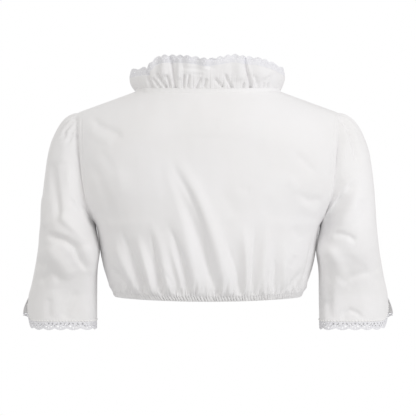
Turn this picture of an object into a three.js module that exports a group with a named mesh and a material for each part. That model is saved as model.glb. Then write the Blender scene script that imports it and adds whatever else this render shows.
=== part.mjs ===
import * as THREE from "three";

// A cropped dirndl blouse of white cotton, hollow as it is worn, with a frilled stand at the neck,
// elbow-length sleeves gathered into the armholes and an elastic casing under the bust.
// Millimetres, Z up. The wearer faces -Y and the wearer's left arm is on the +X side. The origin
// lies between the two neck points, where the shoulder seams meet the neckline.

// Driving sizes
const clothThickness = 1.2;
const seamGap = 0.4;
const sleeveGap = 0.5;
const laceGap = 0.7;
const cuffLaceGap = 1.1;
const neckHalfWidth = 110;
const shoulderHalfWidth = 193;
const shoulderSlope = 0.364;
const backNeckDrop = 5;
const frontNeckDrop = 118;
const frontNeckRounding = 1.65;
const neckRise = 22; // how much higher the shoulder ridge would stand over a covered neck
const underarmHeight = -200;
const armholeFullHeight = -135;
const hemSideHeight = -306.5;
const hemCentreDip = 4;
const hemBandHeight = 7.5;
const hemBandThickness = 3.4;
const hemRidgeDepth = 0.8;
const hemBandOutset = 0.4;
const neckBandHeight = 7.5;
const neckBandThickness = 2;
const frillGathers = 48;
const frillFlutes = 17;
const laceWidth = 12;
const laceScallopDepth = 2.6;
const cuffHeight = -342;
const cuffCornerRise = 13;
const cuffScallops = 18;
const slitTopHeight = -307;
const slitHalfAngle = 0.07;
const slitFlare = 12;
const slitFlareReach = 0.22; // radians round the sleeve
const cuffCornerReach = 0.21; // radians round the sleeve

const shoulderTipHeight = -shoulderSlope * (shoulderHalfWidth - neckHalfWidth);
const degree = Math.PI / 180;

// The front and back panels: which way each faces, how deep its armhole is scooped, how far below
// the shoulder ridge it rounds over, and how square its cross-section is.
const backPanel = {
  name: "back", facing: 1, armholeDepth: 46, ridgeRadius: 90, squareness: 1,
  edgeX: "backX", depth: "backDepth", spread: "backSpread",
};
const frontPanel = {
  name: "front", facing: -1, armholeDepth: 42, ridgeRadius: 120, squareness: 0.86,
  edgeX: "frontX", depth: "frontDepth", spread: "frontSpread",
};

// Cross-sections of the body: the half width at each panel's edge, the depth at its centre, and
// the angle through which the section turns from the centre to that edge.
const bodySections = [
  { height: -311, backX: 137, frontX: 137, backDepth: 88, frontDepth: 86, backSpread: 90, frontSpread: 90 },
  { height: -304, backX: 140, frontX: 140, backDepth: 91, frontDepth: 91, backSpread: 90, frontSpread: 90 },
  { height: -298, backX: 143, frontX: 143, backDepth: 94, frontDepth: 97, backSpread: 90, frontSpread: 90 },
  { height: -290, backX: 147, frontX: 147, backDepth: 97, frontDepth: 104, backSpread: 90, frontSpread: 90 },
  { height: -275, backX: 152.5, frontX: 152.5, backDepth: 100, frontDepth: 114, backSpread: 90, frontSpread: 90 },
  { height: -260, backX: 157, frontX: 157, backDepth: 102, frontDepth: 121, backSpread: 90, frontSpread: 90 },
  { height: -240, backX: 161, frontX: 161, backDepth: 103.5, frontDepth: 127, backSpread: 90, frontSpread: 90 },
  { height: -222, backX: 163.5, frontX: 163.5, backDepth: 104.5, frontDepth: 130, backSpread: 90, frontSpread: 90 },
  { height: -200, backX: 167.5, frontX: 167.5, backDepth: 105, frontDepth: 131, backSpread: 90, frontSpread: 90 },
  { height: -185, backX: 174, frontX: 172, backDepth: 105.5, frontDepth: 129, backSpread: 82, frontSpread: 84 },
  { height: -160, backX: 181.5, frontX: 175, backDepth: 105.5, frontDepth: 123, backSpread: 75, frontSpread: 78 },
  { height: -130, backX: 186.5, frontX: 176.5, backDepth: 104, frontDepth: 113, backSpread: 70, frontSpread: 72 },
  { height: -100, backX: 189.5, frontX: 179.5, backDepth: 102, frontDepth: 101, backSpread: 66, frontSpread: 67 },
  { height: -70, backX: 191.5, frontX: 184.5, backDepth: 99, frontDepth: 88, backSpread: 63.5, frontSpread: 64 },
  { height: -45, backX: 192.8, frontX: 190.5, backDepth: 96, frontDepth: 77, backSpread: 62, frontSpread: 62 },
  { height: -30, backX: 193, frontX: 193, backDepth: 94, frontDepth: 72, backSpread: 62, frontSpread: 62 },
  { height: 0, backX: 193, frontX: 193, backDepth: 90, frontDepth: 64, backSpread: 62, frontSpread: 62 },
];

// The large folds that rise from the elastic: where each stands across the body at its foot and at
// its top, how high it reaches, how far it stands out (negative for a trough) and its half width.
const bodyFolds = {
  back: [
    { footX: 98, topX: 138, topHeight: -222, depth: 4, width: 6.5 },
    { footX: 91, topX: 127, topHeight: -196, depth: -5.4, width: 8 },
    { footX: 77, topX: 106, topHeight: -210, depth: 5, width: 7 },
    { footX: 67, topX: 92, topHeight: -204, depth: -5, width: 7 },
    { footX: 51, topX: 76, topHeight: -218, depth: 4.4, width: 7 },
    { footX: 43, topX: 66, topHeight: -226, depth: -3.8, width: 5.5 },
    { footX: 12, topX: 55, topHeight: -150, depth: 4.8, width: 9 },
    { footX: 27, topX: 60, topHeight: -180, depth: -4, width: 6 },
    { footX: -14, topX: 52, topHeight: -112, depth: -7.2, width: 8 },
    { footX: -31, topX: 36, topHeight: -104, depth: 7.5, width: 12 },
    { footX: -48, topX: -38, topHeight: -208, depth: -5.6, width: 7 },
    { footX: -56, topX: -54, topHeight: -190, depth: 5.2, width: 8 },
    { footX: -63, topX: -76, topHeight: -182, depth: -5, width: 6.5 },
    { footX: -78, topX: -84, topHeight: -176, depth: 4, width: 7.5 },
    { footX: -98, topX: -103, topHeight: -190, depth: -4.2, width: 6.5 },
    { footX: -112, topX: -112, topHeight: -188, depth: 3.4, width: 8 },
  ],
  front: [
    { footX: 104, topX: 122, topHeight: -235, depth: 3, width: 7 },
    { footX: 88, topX: 98, topHeight: -225, depth: -3.6, width: 6 },
    { footX: 72, topX: 82, topHeight: -212, depth: 4.4, width: 8 },
    { footX: 56, topX: 64, topHeight: -222, depth: -4, width: 6 },
    { footX: 40, topX: 44, topHeight: -228, depth: 3.6, width: 7 },
    { footX: 23, topX: 22, topHeight: -205, depth: -4.4, width: 7 },
    { footX: 8, topX: 3, topHeight: -215, depth: 3.8, width: 8 },
    { footX: -10, topX: -12, topHeight: -232, depth: -3.4, width: 6 },
    { footX: -27, topX: -30, topHeight: -210, depth: 4, width: 7 },
    { footX: -44, topX: -50, topHeight: -224, depth: -3.8, width: 6 },
    { footX: -62, topX: -72, topHeight: -208, depth: 4.6, width: 8 },
    { footX: -80, topX: -92, topHeight: -226, depth: -4.2, width: 7 },
    { footX: -98, topX: -112, topHeight: -230, depth: 3.2, width: 7 },
  ],
};
const bust = { acrossX: 76, height: -186, radius: 56, depth: 8 };

// The close gathers above the elastic, which fade out between two heights over the hem.
const hemGathers = { depth: 1.1, fadeFrom: 12, fadeTo: 34 };

// The armhole's curve softens away from its edge: over which heights, and how near the edge.
const armholeSoftening = { from: -232, to: -128, nearColumn: 0.82 };

// How far in from an armhole or a neckline, as a share of the panel, its own direction is taken.
const armholeInset = 0.93;
const necklineInset = 1.15;
const edgeDrop = 0.04;

// Level cross-sections of the sleeve below the underarm. Beside the ribs it hangs a little to the
// back, so that its inner side lies against the body there.
const sleeveSections = [
  { height: -354, innerX: 167, outerX: 272, halfDepth: 49, backwards: 0 },
  { height: -338, innerX: 166.5, outerX: 271.5, halfDepth: 49, backwards: 0 },
  { height: -306, innerX: 166.3, outerX: 269, halfDepth: 50, backwards: 0 },
  { height: -282, innerX: 166, outerX: 264, halfDepth: 52, backwards: 3 },
  { height: -262, innerX: 164.8, outerX: 260, halfDepth: 54, backwards: 8 },
  { height: -250, innerX: 162.8, outerX: 257.6, halfDepth: 55.6, backwards: 12 },
  { height: -238, innerX: 161.4, outerX: 255.6, halfDepth: 57, backwards: 15 },
  { height: -222, innerX: 163.2, outerX: 253.6, halfDepth: 58.5, backwards: 16 },
  { height: -200, innerX: 168.5, outerX: 251.5, halfDepth: 60, backwards: 14 },
];
const sleeveRingHeight = -213;
const sleeveRingTilt = 13;

// The sleeve's head bends round this place; below its foot the sleeve is level.
const sleeveHead = { x: 178, height: -190, foot: -196 };

// How strongly the sleeve runs out from the armhole seam, by its place round the armhole from the
// shoulder tip (0) to the underarm (1): along the panel's own surface, out sideways and upwards.
const sleeveStart = [
  { place: 0, along: 60, outward: 94, upward: 40, fall: 150 },
  { place: 0.14, along: 50, outward: 82, upward: 34, fall: 145 },
  { place: 0.3, along: 34, outward: 56, upward: 22, fall: 125 },
  { place: 0.5, along: 14, outward: 42, upward: 14, fall: 96 },
  { place: 0.75, along: 9, outward: 20, upward: 10, fall: 56 },
  { place: 0.92, along: 9, outward: 10, upward: 8, fall: 30 },
  { place: 1, along: 12, outward: 9, upward: 4, fall: 24 },
];

// Creases across the sleeve, by angle round it from the outer side towards the back, and height.
const sleeveFolds = [
  { angle: 75, height: -165, angleWidth: 26, heightWidth: 9, rise: 26, depth: -3.4 },
  { angle: 95, height: -205, angleWidth: 34, heightWidth: 8, rise: -20, depth: -4.4 },
  { angle: 110, height: -182, angleWidth: 26, heightWidth: 12, rise: -14, depth: 3.2 },
  { angle: 70, height: -262, angleWidth: 30, heightWidth: 9, rise: 18, depth: -3 },
  { angle: -70, height: -212, angleWidth: 34, heightWidth: 9, rise: 20, depth: -3.6 },
  { angle: -105, height: -178, angleWidth: 28, heightWidth: 10, rise: 12, depth: 3 },
  { angle: -80, height: -268, angleWidth: 30, heightWidth: 9, rise: -16, depth: -2.8 },
];
const capPleats = { reach: 0.36, count: 6, depth: 1.9, length: 0.62 };
const capShares = [0.06, 0.17, 0.32, 0.5, 0.72, 1];
const tubeShares = [0.24, 0.48, 0.74, 1];
const cuffShares = [0.5, 1];

// The frill's height, how far it leans out and how far its middle bulges, by the angle round the
// neck from the front.
const frillShape = [
  { angle: 0, clothHeight: 20, lean: 0.35, bulge: 1 },
  { angle: 60, clothHeight: 20, lean: 0.3, bulge: 3 },
  { angle: 85, clothHeight: 17, lean: 0.02, bulge: 6 },
  { angle: 108, clothHeight: 18, lean: -0.08, bulge: 6 },
  { angle: 124, clothHeight: 26, lean: -0.02, bulge: 4 },
  { angle: 140, clothHeight: 32, lean: 0, bulge: 3 },
  { angle: 180, clothHeight: 33, lean: 0.08, bulge: 2 },
];
const frillGatherDepth = 1.5;

// The flutes that the gathers run together into, as waves round the neck.
const frillWaves = [
  { count: frillFlutes, depth: 3.9, phase: 0.8 },
  { count: frillFlutes - 6, depth: 2.1, phase: 2.1 },
  { count: frillFlutes + 7, depth: 1.4, phase: 4 },
];

const clamp = (value, low, high) => Math.min(high, Math.max(low, value));
const mix = (a, b, share) => a + (b - a) * share;
const bell = (distance) => Math.exp(-distance * distance);
function smoothStep(low, high, value) {
  const share = clamp((value - low) / (high - low), 0, 1);
  return share * share * (3 - 2 * share);
}

// A smooth curve through one column of a table, which never overshoots the table's values.
function curveThrough(table, key, column) {
  const rows = [...table].sort((a, b) => a[key] - b[key]);
  const slopes = rows.slice(1).map((row, i) => (row[column] - rows[i][column]) / (row[key] - rows[i][key]));
  const tangents = rows.map((_, i) => {
    const before = slopes[Math.max(i - 1, 0)];
    const after = slopes[Math.min(i, slopes.length - 1)];
    return before * after <= 0 ? 0 : (2 * before * after) / (before + after);
  });
  return (at) => {
    const x = clamp(at, rows[0][key], rows[rows.length - 1][key]);
    const i = clamp(rows.findIndex((row) => row[key] >= x) - 1, 0, rows.length - 2);
    const span = rows[i + 1][key] - rows[i][key];
    const t = (x - rows[i][key]) / span;
    const rest = 1 - t;
    return (
      rows[i][column] * (1 + 2 * t) * rest * rest +
      tangents[i] * span * t * rest * rest +
      rows[i + 1][column] * t * t * (3 - 2 * t) -
      tangents[i + 1] * span * t * t * rest
    );
  };
}
const curvesOf = (table, key) =>
  Object.fromEntries(Object.keys(table[0]).map((column) => [column, curveThrough(table, key, column)]));
const bodyAt = curvesOf(bodySections, "height");
const sleeveAt = curvesOf(sleeveSections, "height");
const startAt = curvesOf(sleeveStart, "place");
const frillAt = curvesOf(frillShape, "angle");

// The body

// Height of the shoulder ridge above a place across the body; inside the neck it rises on as the
// ridge would if the neck were covered.
function shoulderRidge(x) {
  const across = Math.abs(x);
  if (across >= neckHalfWidth) return -shoulderSlope * (across - neckHalfWidth);
  return neckRise * (1 - (across / neckHalfWidth) ** 2);
}

const topSpread = 62 * degree;
const neckColumn = Math.asin((neckHalfWidth / shoulderHalfWidth) * Math.sin(topSpread)) / topSpread;

// Height of a panel's upper edge: the shoulder seam outside the neck points, the neckline inside.
function topEdgeHeight(panel, column) {
  const across = Math.abs(column);
  if (across >= neckColumn) {
    return shoulderRidge((shoulderHalfWidth * Math.sin(across * topSpread)) / Math.sin(topSpread));
  }
  const share = across / neckColumn;
  return panel === backPanel
    ? -backNeckDrop * (1 - share * share)
    : -frontNeckDrop * (1 - share ** frontNeckRounding);
}

const hemHeight = (angle) => hemSideHeight - hemCentreDip * Math.cos(angle) ** 2;

// How far the panel's edge stands from the side seam at a height: the armhole's scoop, which is
// softer inside the panel than at its edge.
function armholeScoop(panel, height, across) {
  const share = clamp((armholeFullHeight - height) / (armholeFullHeight - underarmHeight), 0, 1);
  const atEdge = height <= underarmHeight ? 0 : Math.sqrt(1 - share * share);
  const inside = smoothStep(armholeSoftening.from, armholeSoftening.to, height);
  return panel.armholeDepth * mix(inside, atEdge, smoothStep(armholeSoftening.nearColumn, 1, across));
}

// How far the cloth stands out from the plain panel: folds, bust shaping and fine gathers.
function bodyRelief(panel, x, height, column) {
  let relief = 0;
  for (const fold of bodyFolds[panel.name]) {
    const rise = (height - hemSideHeight) / (fold.topHeight - hemSideHeight);
    if (rise < 0 || rise > 1) continue;
    const centre = mix(fold.footX, fold.topX, rise ** 1.15);
    const width = fold.width * (1 + 0.7 * rise);
    const strength = (0.35 + 0.65 * smoothStep(0, 0.2, rise)) * (1 - smoothStep(0.4, 1, rise));
    relief += fold.depth * strength * bell((x - centre) / width);
  }
  if (panel === frontPanel) {
    const away = Math.hypot(Math.abs(x) - bust.acrossX, height - bust.height) / bust.radius;
    relief += bust.depth * bell(away);
  }
  const aboveHem = height - hemSideHeight;
  const nearHem = 1 - smoothStep(hemGathers.fadeFrom, hemGathers.fadeTo, aboveHem);
  relief += hemGathers.depth * nearHem * Math.cos(Math.PI * hemColumns * 0.5 * column);
  return relief * (1 - smoothStep(0.9, 1, Math.abs(column)));
}

// A point of a panel's outer side: column runs from -1 at one side seam to 1 at the other, and
// drop from 0 at the upper edge to 1 at the elastic.
function panelPoint(panel, column, drop) {
  const across = Math.abs(column);
  const lowest = hemHeight(across * 90 * degree) + hemBandHeight + seamGap;
  const height = mix(topEdgeHeight(panel, column), lowest, drop);
  const spread = bodyAt[panel.spread](height) * degree;
  const angle = across * spread;
  const edgeX = bodyAt[panel.edgeX](height);
  const x = (Math.sign(column) * edgeX * Math.sin(angle)) / Math.sin(spread);
  const scoop = armholeScoop(panel, height, across);
  const centreDepth = bodyAt[panel.depth](height);
  const roundness = clamp((Math.cos(angle) - Math.cos(spread)) / (1 - Math.cos(spread)), 0, 1);
  let depth = mix(scoop, centreDepth, roundness ** panel.squareness);
  const below = clamp((shoulderRidge(x) - height) / panel.ridgeRadius, 0, 1);
  depth *= Math.sqrt(1 - (1 - below) ** 2);
  const outward = new THREE.Vector2(Math.sin(angle) * centreDepth, Math.cos(angle) * edgeX).normalize();
  const relief = bodyRelief(panel, x, height, column) * smoothStep(0, 0.25, below);
  return new THREE.Vector3(
    x + Math.sign(column) * outward.x * relief,
    panel.facing * (depth + outward.y * relief + seamGap / 2),
    height,
  );
}

const underarmDrop =
  (shoulderTipHeight - underarmHeight) / (shoulderTipHeight - (hemSideHeight + hemBandHeight + seamGap));
const upperDrops = [0, 0.02, 0.07, 0.16, 0.27, 0.4, 0.53, 0.66, 0.78, 0.88, 0.96, 1].map(
  (share) => share * underarmDrop,
);
const lowerDrops = [0.16, 0.32, 0.48, 0.64, 0.79, 0.91, 1].map((share) => mix(underarmDrop, 1, share));
const hemColumns = 56;
const neckSteps = 16;
const shoulderSteps = 4;
const evenly = (count, from, to) => Array.from({ length: count + 1 }, (_, i) => mix(from, to, i / count));
const hemColumnList = evenly(hemColumns, -1, 1);
const upperColumnList = [
  ...evenly(shoulderSteps, -1, -neckColumn).slice(0, -1),
  ...evenly(neckSteps, -neckColumn, neckColumn),
  ...evenly(shoulderSteps, neckColumn, 1).slice(1),
];

// The outward direction of a panel's own surface, by small steps that stay on the panel.
function ownNormal(panel, column, drop) {
  const step = 0.002;
  const columns = [Math.max(column - step, -1), Math.min(column + step, 1)];
  const drops = [Math.max(drop - step, 0), Math.min(drop + step, 1)];
  if (Math.abs(column) === 1 && Math.abs(drop - underarmDrop) < step) drops[0] = drop;
  const acrossStep = panelPoint(panel, columns[1], drop).sub(panelPoint(panel, columns[0], drop));
  const downStep = panelPoint(panel, column, drops[1]).sub(panelPoint(panel, column, drops[0]));
  return acrossStep.cross(downStep).multiplyScalar(panel.facing).normalize();
}

// The same, shared by both panels where a seam joins them.
function panelNormal(panel, column, drop) {
  const onSideSeam = Math.abs(column) === 1 && drop >= underarmDrop - 1e-9;
  const onShoulderSeam = drop === 0 && Math.abs(column) >= neckColumn - 1e-9;
  if (!onSideSeam && !onShoulderSeam) return ownNormal(panel, column, drop);
  return ownNormal(backPanel, column, drop).add(ownNormal(frontPanel, column, drop)).normalize();
}

function panelRow(panel, drop, columns) {
  const points = columns.map((column) => {
    const outer = panelPoint(panel, column, drop);
    const inner = outer.clone().addScaledVector(panelNormal(panel, column, drop), -clothThickness);
    return { at: column, outer, inner };
  });
  return { closed: false, points };
}

function panelRows(panel) {
  return [
    ...upperDrops.map((drop) => panelRow(panel, drop, upperColumnList)),
    ...lowerDrops.map((drop) => panelRow(panel, drop, hemColumnList)),
  ];
}

// Cloth as a closed solid

// Triangles between two rows whose points are ordered by at, whatever their counts.
function zipRows(upper, lower, emit) {
  let i = 0;
  let j = 0;
  while (i < upper.length - 1 || j < lower.length - 1) {
    const upperNext = i < upper.length - 1 ? upper[i + 1].at : Infinity;
    const lowerNext = j < lower.length - 1 ? lower[j + 1].at : Infinity;
    if (upperNext <= lowerNext) {
      emit(upper[i], lower[j], upper[i + 1]);
      i += 1;
    } else {
      emit(upper[i], lower[j], lower[j + 1]);
      j += 1;
    }
  }
}

// A wall of cloth from rows of outer and inner points. A closed row is a ring; where rows are
// open, as at a slit, their two ends are closed with edges of their own.
function clothGeometry(rows) {
  const positions = [];
  const faces = [];
  const addPoint = (point) => positions.push(point.x, point.y, point.z) / 3 - 1;
  const lines = rows.map((row) => {
    const line = row.points.map((p) => ({ at: p.at, outer: addPoint(p.outer), inner: addPoint(p.inner) }));
    if (row.closed) line.push({ ...line[0], at: line[0].at + row.turn });
    return line;
  });
  const quad = (a, b, c, d) => faces.push(a, b, c, a, c, d);
  lines.slice(1).forEach((lower, i) => {
    const upper = lines[i];
    zipRows(upper, lower, (a, b, c) => {
      faces.push(a.outer, b.outer, c.outer);
      faces.push(a.inner, c.inner, b.inner);
    });
    if (rows[i].closed && rows[i + 1].closed) return;
    const [a, b] = [upper[0], lower[0]];
    const [c, d] = [upper[upper.length - 1], lower[lower.length - 1]];
    quad(a.outer, a.inner, b.inner, b.outer);
    quad(c.inner, c.outer, d.outer, d.inner);
  });
  const rim = (line, flip) =>
    line.slice(1).forEach((b, i) => {
      const a = line[i];
      if (flip) quad(a.outer, a.inner, b.inner, b.outer);
      else quad(a.inner, a.outer, b.outer, b.inner);
    });
  rim(lines[0], false);
  rim(lines[lines.length - 1], true);
  const at = (i) => new THREE.Vector3().fromArray(positions, 3 * i);
  let volume = 0;
  for (let i = 0; i < faces.length; i += 3) {
    volume += at(faces[i]).dot(at(faces[i + 1]).cross(at(faces[i + 2])));
  }
  if (volume < 0) faces.reverse();
  const geometry = new THREE.BufferGeometry();
  geometry.setAttribute("position", new THREE.Float32BufferAttribute(positions, 3));
  geometry.setIndex(faces);
  return geometry;
}

// Rows of a wall from a grid of outer points: the inner side lies one thickness in, away from the
// direction that outwardOf gives at a point.
function wallRows(grid, thickness, outwardOf) {
  return grid.map((row, i) => {
    const above = grid[Math.max(i - 1, 0)];
    const below = grid[Math.min(i + 1, grid.length - 1)];
    const last = row.points.length - 1;
    const points = row.points.map((p, j) => {
      const before = row.closed ? row.points[(j + last) % (last + 1)] : row.points[Math.max(j - 1, 0)];
      const after = row.closed ? row.points[(j + 1) % (last + 1)] : row.points[Math.min(j + 1, last)];
      const along = after.outer.clone().sub(before.outer);
      const upper = above.points[row.columnOf ? row.columnOf(above, j) : j];
      const lower = below.points[row.columnOf ? row.columnOf(below, j) : j];
      const normal = along.cross(lower.outer.clone().sub(upper.outer)).normalize();
      if (normal.dot(outwardOf(p.outer)) < 0) normal.negate();
      return { at: p.at, outer: p.outer, inner: p.inner ?? p.outer.clone().addScaledVector(normal, -thickness) };
    });
    return { closed: row.closed, turn: row.turn, points };
  });
}

// The seams that other pieces are sewn to

// The edge of a panel at given places, each with a point of the panel a little way in from it.
function edgePoints(panel, places, inset) {
  return places.map(({ column, drop }) => {
    const outer = panelPoint(panel, column, drop);
    const normal = panelNormal(panel, column, drop);
    const inner = outer.clone().addScaledVector(normal, -clothThickness);
    const inside = panelPoint(panel, column * inset, drop + edgeDrop);
    return { outer, inner, normal, inside };
  });
}

// A closed seam from the edges of both panels: where they meet, the two points become one.
function joinedSeam(backEdge, frontEdge) {
  const meet = (a, b) => {
    const joined = {};
    for (const key of ["outer", "inner", "normal", "inside"]) joined[key] = a[key].clone().lerp(b[key], 0.5);
    return joined;
  };
  const last = backEdge.length - 1;
  const loop = [
    meet(backEdge[0], frontEdge[0]),
    ...backEdge.slice(1, last),
    meet(backEdge[last], frontEdge[frontEdge.length - 1]),
    ...frontEdge.slice(1, -1).reverse(),
  ];
  return loop.map((p, i) => {
    const before = loop[(i + loop.length - 1) % loop.length];
    const after = loop[(i + 1) % loop.length];
    const tangent = after.outer.clone().sub(before.outer).normalize();
    const runOn = tangent.clone().cross(p.normal).normalize();
    if (runOn.dot(p.outer.clone().sub(p.inside)) < 0) runOn.negate();
    return { ...p, tangent, runOn };
  });
}

// The sleeves, made for the +X side and mirrored for the other

const armholeDrops = upperDrops.map((drop) => ({ column: 1, drop }));
const armholeEdge = (panel) => edgePoints(panel, armholeDrops, armholeInset);
const armhole = joinedSeam(armholeEdge(backPanel), armholeEdge(frontPanel));
const armholeSteps = armholeDrops.length - 1;

// Extra columns in the cap, so that each pleat has a crest and a trough.
const stepSplits = [1, 1, 2, 3, 3, 2, 1, 1, 1, 1, 1];

// Places round the armhole, from the shoulder tip back and under and up the front: each has its
// point on the seam and its place from the tip (0) to the underarm (1).
function armholePlaces() {
  const places = [];
  const sides = [
    { from: 0, order: stepSplits, turn: 1 },
    { from: armholeSteps, order: [...stepSplits].reverse(), turn: 1 },
  ];
  for (const side of sides) {
    side.order.forEach((splits, i) => {
      const a = armhole[side.from + i];
      const b = armhole[(side.from + i + 1) % armhole.length];
      for (let k = 0; k < splits; k += 1) {
        const point = {};
        for (const key of ["outer", "inner", "normal", "runOn"]) {
          point[key] = a[key].clone().lerp(b[key], k / splits);
        }
        point.side = side.from === 0 ? 1 : -1;
        places.push(point);
      }
    });
  }
  const half = places.findIndex((p) => p.side < 0);
  const gone = (from, to) => {
    let length = 0;
    for (let i = from; i < to; i += 1) {
      length += places[i % places.length].outer.distanceTo(places[(i + 1) % places.length].outer);
    }
    return length;
  };
  const backLength = gone(0, half);
  const frontLength = gone(half, places.length);
  places.forEach((p, i) => {
    p.place = i <= half ? gone(0, i) / backLength : gone(i, places.length) / frontLength;
    p.side = i <= half ? 1 : -1;
    p.angle = i <= half ? p.place * Math.PI : 2 * Math.PI - p.place * Math.PI;
  });
  return places;
}
const sleevePlaces = armholePlaces();

// How far a crease stands out at an angle round the sleeve and a height.
function sleeveRelief(angle, height) {
  const turned = angle > Math.PI ? angle - 2 * Math.PI : angle;
  let relief = 0;
  for (const fold of sleeveFolds) {
    const aside = (turned / degree - fold.angle) / fold.angleWidth;
    relief += fold.depth * bell(aside) * bell((height - fold.height - fold.rise * aside) / fold.heightWidth);
  }
  return relief * smoothStep(1.15, 0.75, Math.abs(turned) / Math.PI + 0.25 * smoothStep(-250, -200, height));
}

// A point of the sleeve's level part, with the slit's front edge flared outwards.
function tubePoint(angle, height) {
  const innerX = sleeveAt.innerX(height);
  const halfWidth = (sleeveAt.outerX(height) - innerX) / 2;
  const relief = sleeveRelief(angle, height);
  const turned = angle > Math.PI ? angle - 2 * Math.PI : angle;
  const below = clamp((slitTopHeight - height) / (slitTopHeight - cuffHeight), 0, 1);
  const flare = turned <= 0 ? slitFlare * below * bell(turned / slitFlareReach) : 0;
  return new THREE.Vector3(
    innerX + halfWidth + (halfWidth + relief + flare) * Math.cos(angle),
    sleeveAt.backwards(height) + (sleeveAt.halfDepth(height) + relief) * Math.sin(angle),
    height,
  );
}

// Height of the cuff's edge, which curves up into the slit at its two corners.
function cuffEdge(angle) {
  const turned = Math.abs(angle > Math.PI ? angle - 2 * Math.PI : angle);
  return cuffHeight + cuffCornerRise * bell((turned - slitHalfAngle) / cuffCornerReach);
}

const ringHeight = (angle) => sleeveRingHeight + sleeveRingTilt * Math.cos(angle);

// The sleeve's cap: one curve for each place, from the armhole seam to the ring below it.
function capPoint(place, share) {
  const ring = tubePoint(place.angle, ringHeight(place.angle));
  const under = tubePoint(place.angle, ringHeight(place.angle) - 4);
  const falling = under.sub(ring).normalize().multiplyScalar(startAt.fall(place.place));
  const start = place.outer.clone().addScaledVector(place.runOn, sleeveGap);
  const leaving = place.runOn.clone().multiplyScalar(startAt.along(place.place));
  leaving.x += startAt.outward(place.place);
  leaving.z += startAt.upward(place.place);
  const rest = 1 - share;
  const point = start
    .multiplyScalar((1 + 2 * share) * rest * rest)
    .addScaledVector(leaving, share * rest * rest)
    .addScaledVector(ring, share * share * (3 - 2 * share))
    .addScaledVector(falling, -share * share * rest);
  const pleatReach = 1 - smoothStep(capPleats.reach * 0.7, capPleats.reach, place.place);
  const pleatFade = smoothStep(0, 0.1, share) * (1 - smoothStep(0.2, capPleats.length, share));
  const wave = Math.cos((Math.PI * capPleats.count * place.place) / capPleats.reach);
  const swell = place.normal.clone().lerp(new THREE.Vector3(1, 0, 0), share);
  return point.addScaledVector(swell, capPleats.depth * wave * pleatReach * pleatFade);
}

// The direction away from the middle of the sleeve.
function awayFromSleeve(point) {
  if (point.z > sleeveHead.foot) return point.clone().sub(new THREE.Vector3(sleeveHead.x, 0, sleeveHead.height));
  const middleX = (sleeveAt.innerX(point.z) + sleeveAt.outerX(point.z)) / 2;
  return new THREE.Vector3(point.x - middleX, point.y, 0);
}

function sleeveRows() {
  const turn = 2 * Math.PI;
  const ringRow = (pointOf) => ({
    closed: true,
    turn,
    points: sleevePlaces.map((place) => ({ at: place.angle, ...pointOf(place) })),
  });
  const seam = ringRow((place) => ({
    outer: place.outer.clone().addScaledVector(place.runOn, sleeveGap),
    inner: place.inner.clone().addScaledVector(place.runOn, sleeveGap),
  }));
  const cap = capShares.map((share) => ringRow((place) => ({ outer: capPoint(place, share) })));
  const tube = tubeShares.map((share) =>
    ringRow((place) => ({ outer: tubePoint(place.angle, mix(ringHeight(place.angle), slitTopHeight, share)) })),
  );
  const cuff = cuffShares.map((share) => slitRow(share));
  return wallRows([seam, ...cap, ...tube, ...cuff], clothThickness, awayFromSleeve);
}

// A row below the slit's top: it ends at the slit's two edges, which part further down.
function slitRow(share) {
  const half = slitHalfAngle * share;
  const angles = [half, ...sleevePlaces.slice(1).map((place) => place.angle), 2 * Math.PI - half];
  return {
    closed: false,
    points: angles.map((angle) => ({
      at: angle,
      outer: tubePoint(angle, mix(slitTopHeight, cuffEdge(angle), share)),
    })),
    columnOf: (other, j) => (other.closed ? j % other.points.length : j),
  };
}

// The lace sewn under the cuff: it hangs from the cuff's own edge, scalloped along its free side.
function cuffLaceRows(cuffRow) {
  const edge = cuffRow.points;
  const columns = evenly(cuffScallops * 4, edge[0].at, edge[edge.length - 1].at);
  const falls = [
    () => cuffLaceGap,
    (i) => laceWidth - laceScallopDepth * (1 - Math.abs(Math.sin((Math.PI * i) / 4))),
  ];
  return falls.map((fall) => ({
    closed: false,
    points: columns.map((at, i) => {
      const next = clamp(edge.findIndex((p) => p.at >= at), 1, edge.length - 1);
      const share = (at - edge[next - 1].at) / (edge[next].at - edge[next - 1].at);
      const outer = edge[next - 1].outer.clone().lerp(edge[next].outer, share);
      const inner = edge[next - 1].inner.clone().lerp(edge[next].inner, share);
      outer.z -= fall(i);
      inner.z -= fall(i);
      return { at, outer, inner };
    }),
  }));
}

// The neck: band, frill and lace

const neckPlaces = evenly(neckSteps, neckColumn, -neckColumn).map((column) => ({ column, drop: 0 }));
const neckEdge = (panel) => edgePoints(panel, neckPlaces, necklineInset);
const neckSeam = joinedSeam(neckEdge(backPanel), neckEdge(frontPanel));
const neckMiddle = new THREE.Vector3(0, -25, 0);

// The neckline with the directions in which the band stands up and faces out. The angle runs from
// 0 at the front to 180 at the back.
const neckLine = neckSeam.map((p) => {
  const outwards = p.outer.clone().sub(neckMiddle).setZ(0).normalize();
  const rising = new THREE.Vector3(0, 0, 1).addScaledVector(outwards, 0.12);
  rising.addScaledVector(p.tangent, -rising.dot(p.tangent)).normalize();
  const facing = p.tangent.clone().cross(rising).normalize();
  if (facing.dot(outwards) < 0) facing.negate();
  const foot = p.outer.clone().lerp(p.inner, 0.5);
  const clear = seamGap + (Math.abs(facing.dot(p.runOn)) * neckBandThickness) / 2;
  foot.addScaledVector(p.runOn, clear);
  return { foot, rising, facing, angle: Math.acos(clamp(outwards.y, -1, 1)) / degree };
});

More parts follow.
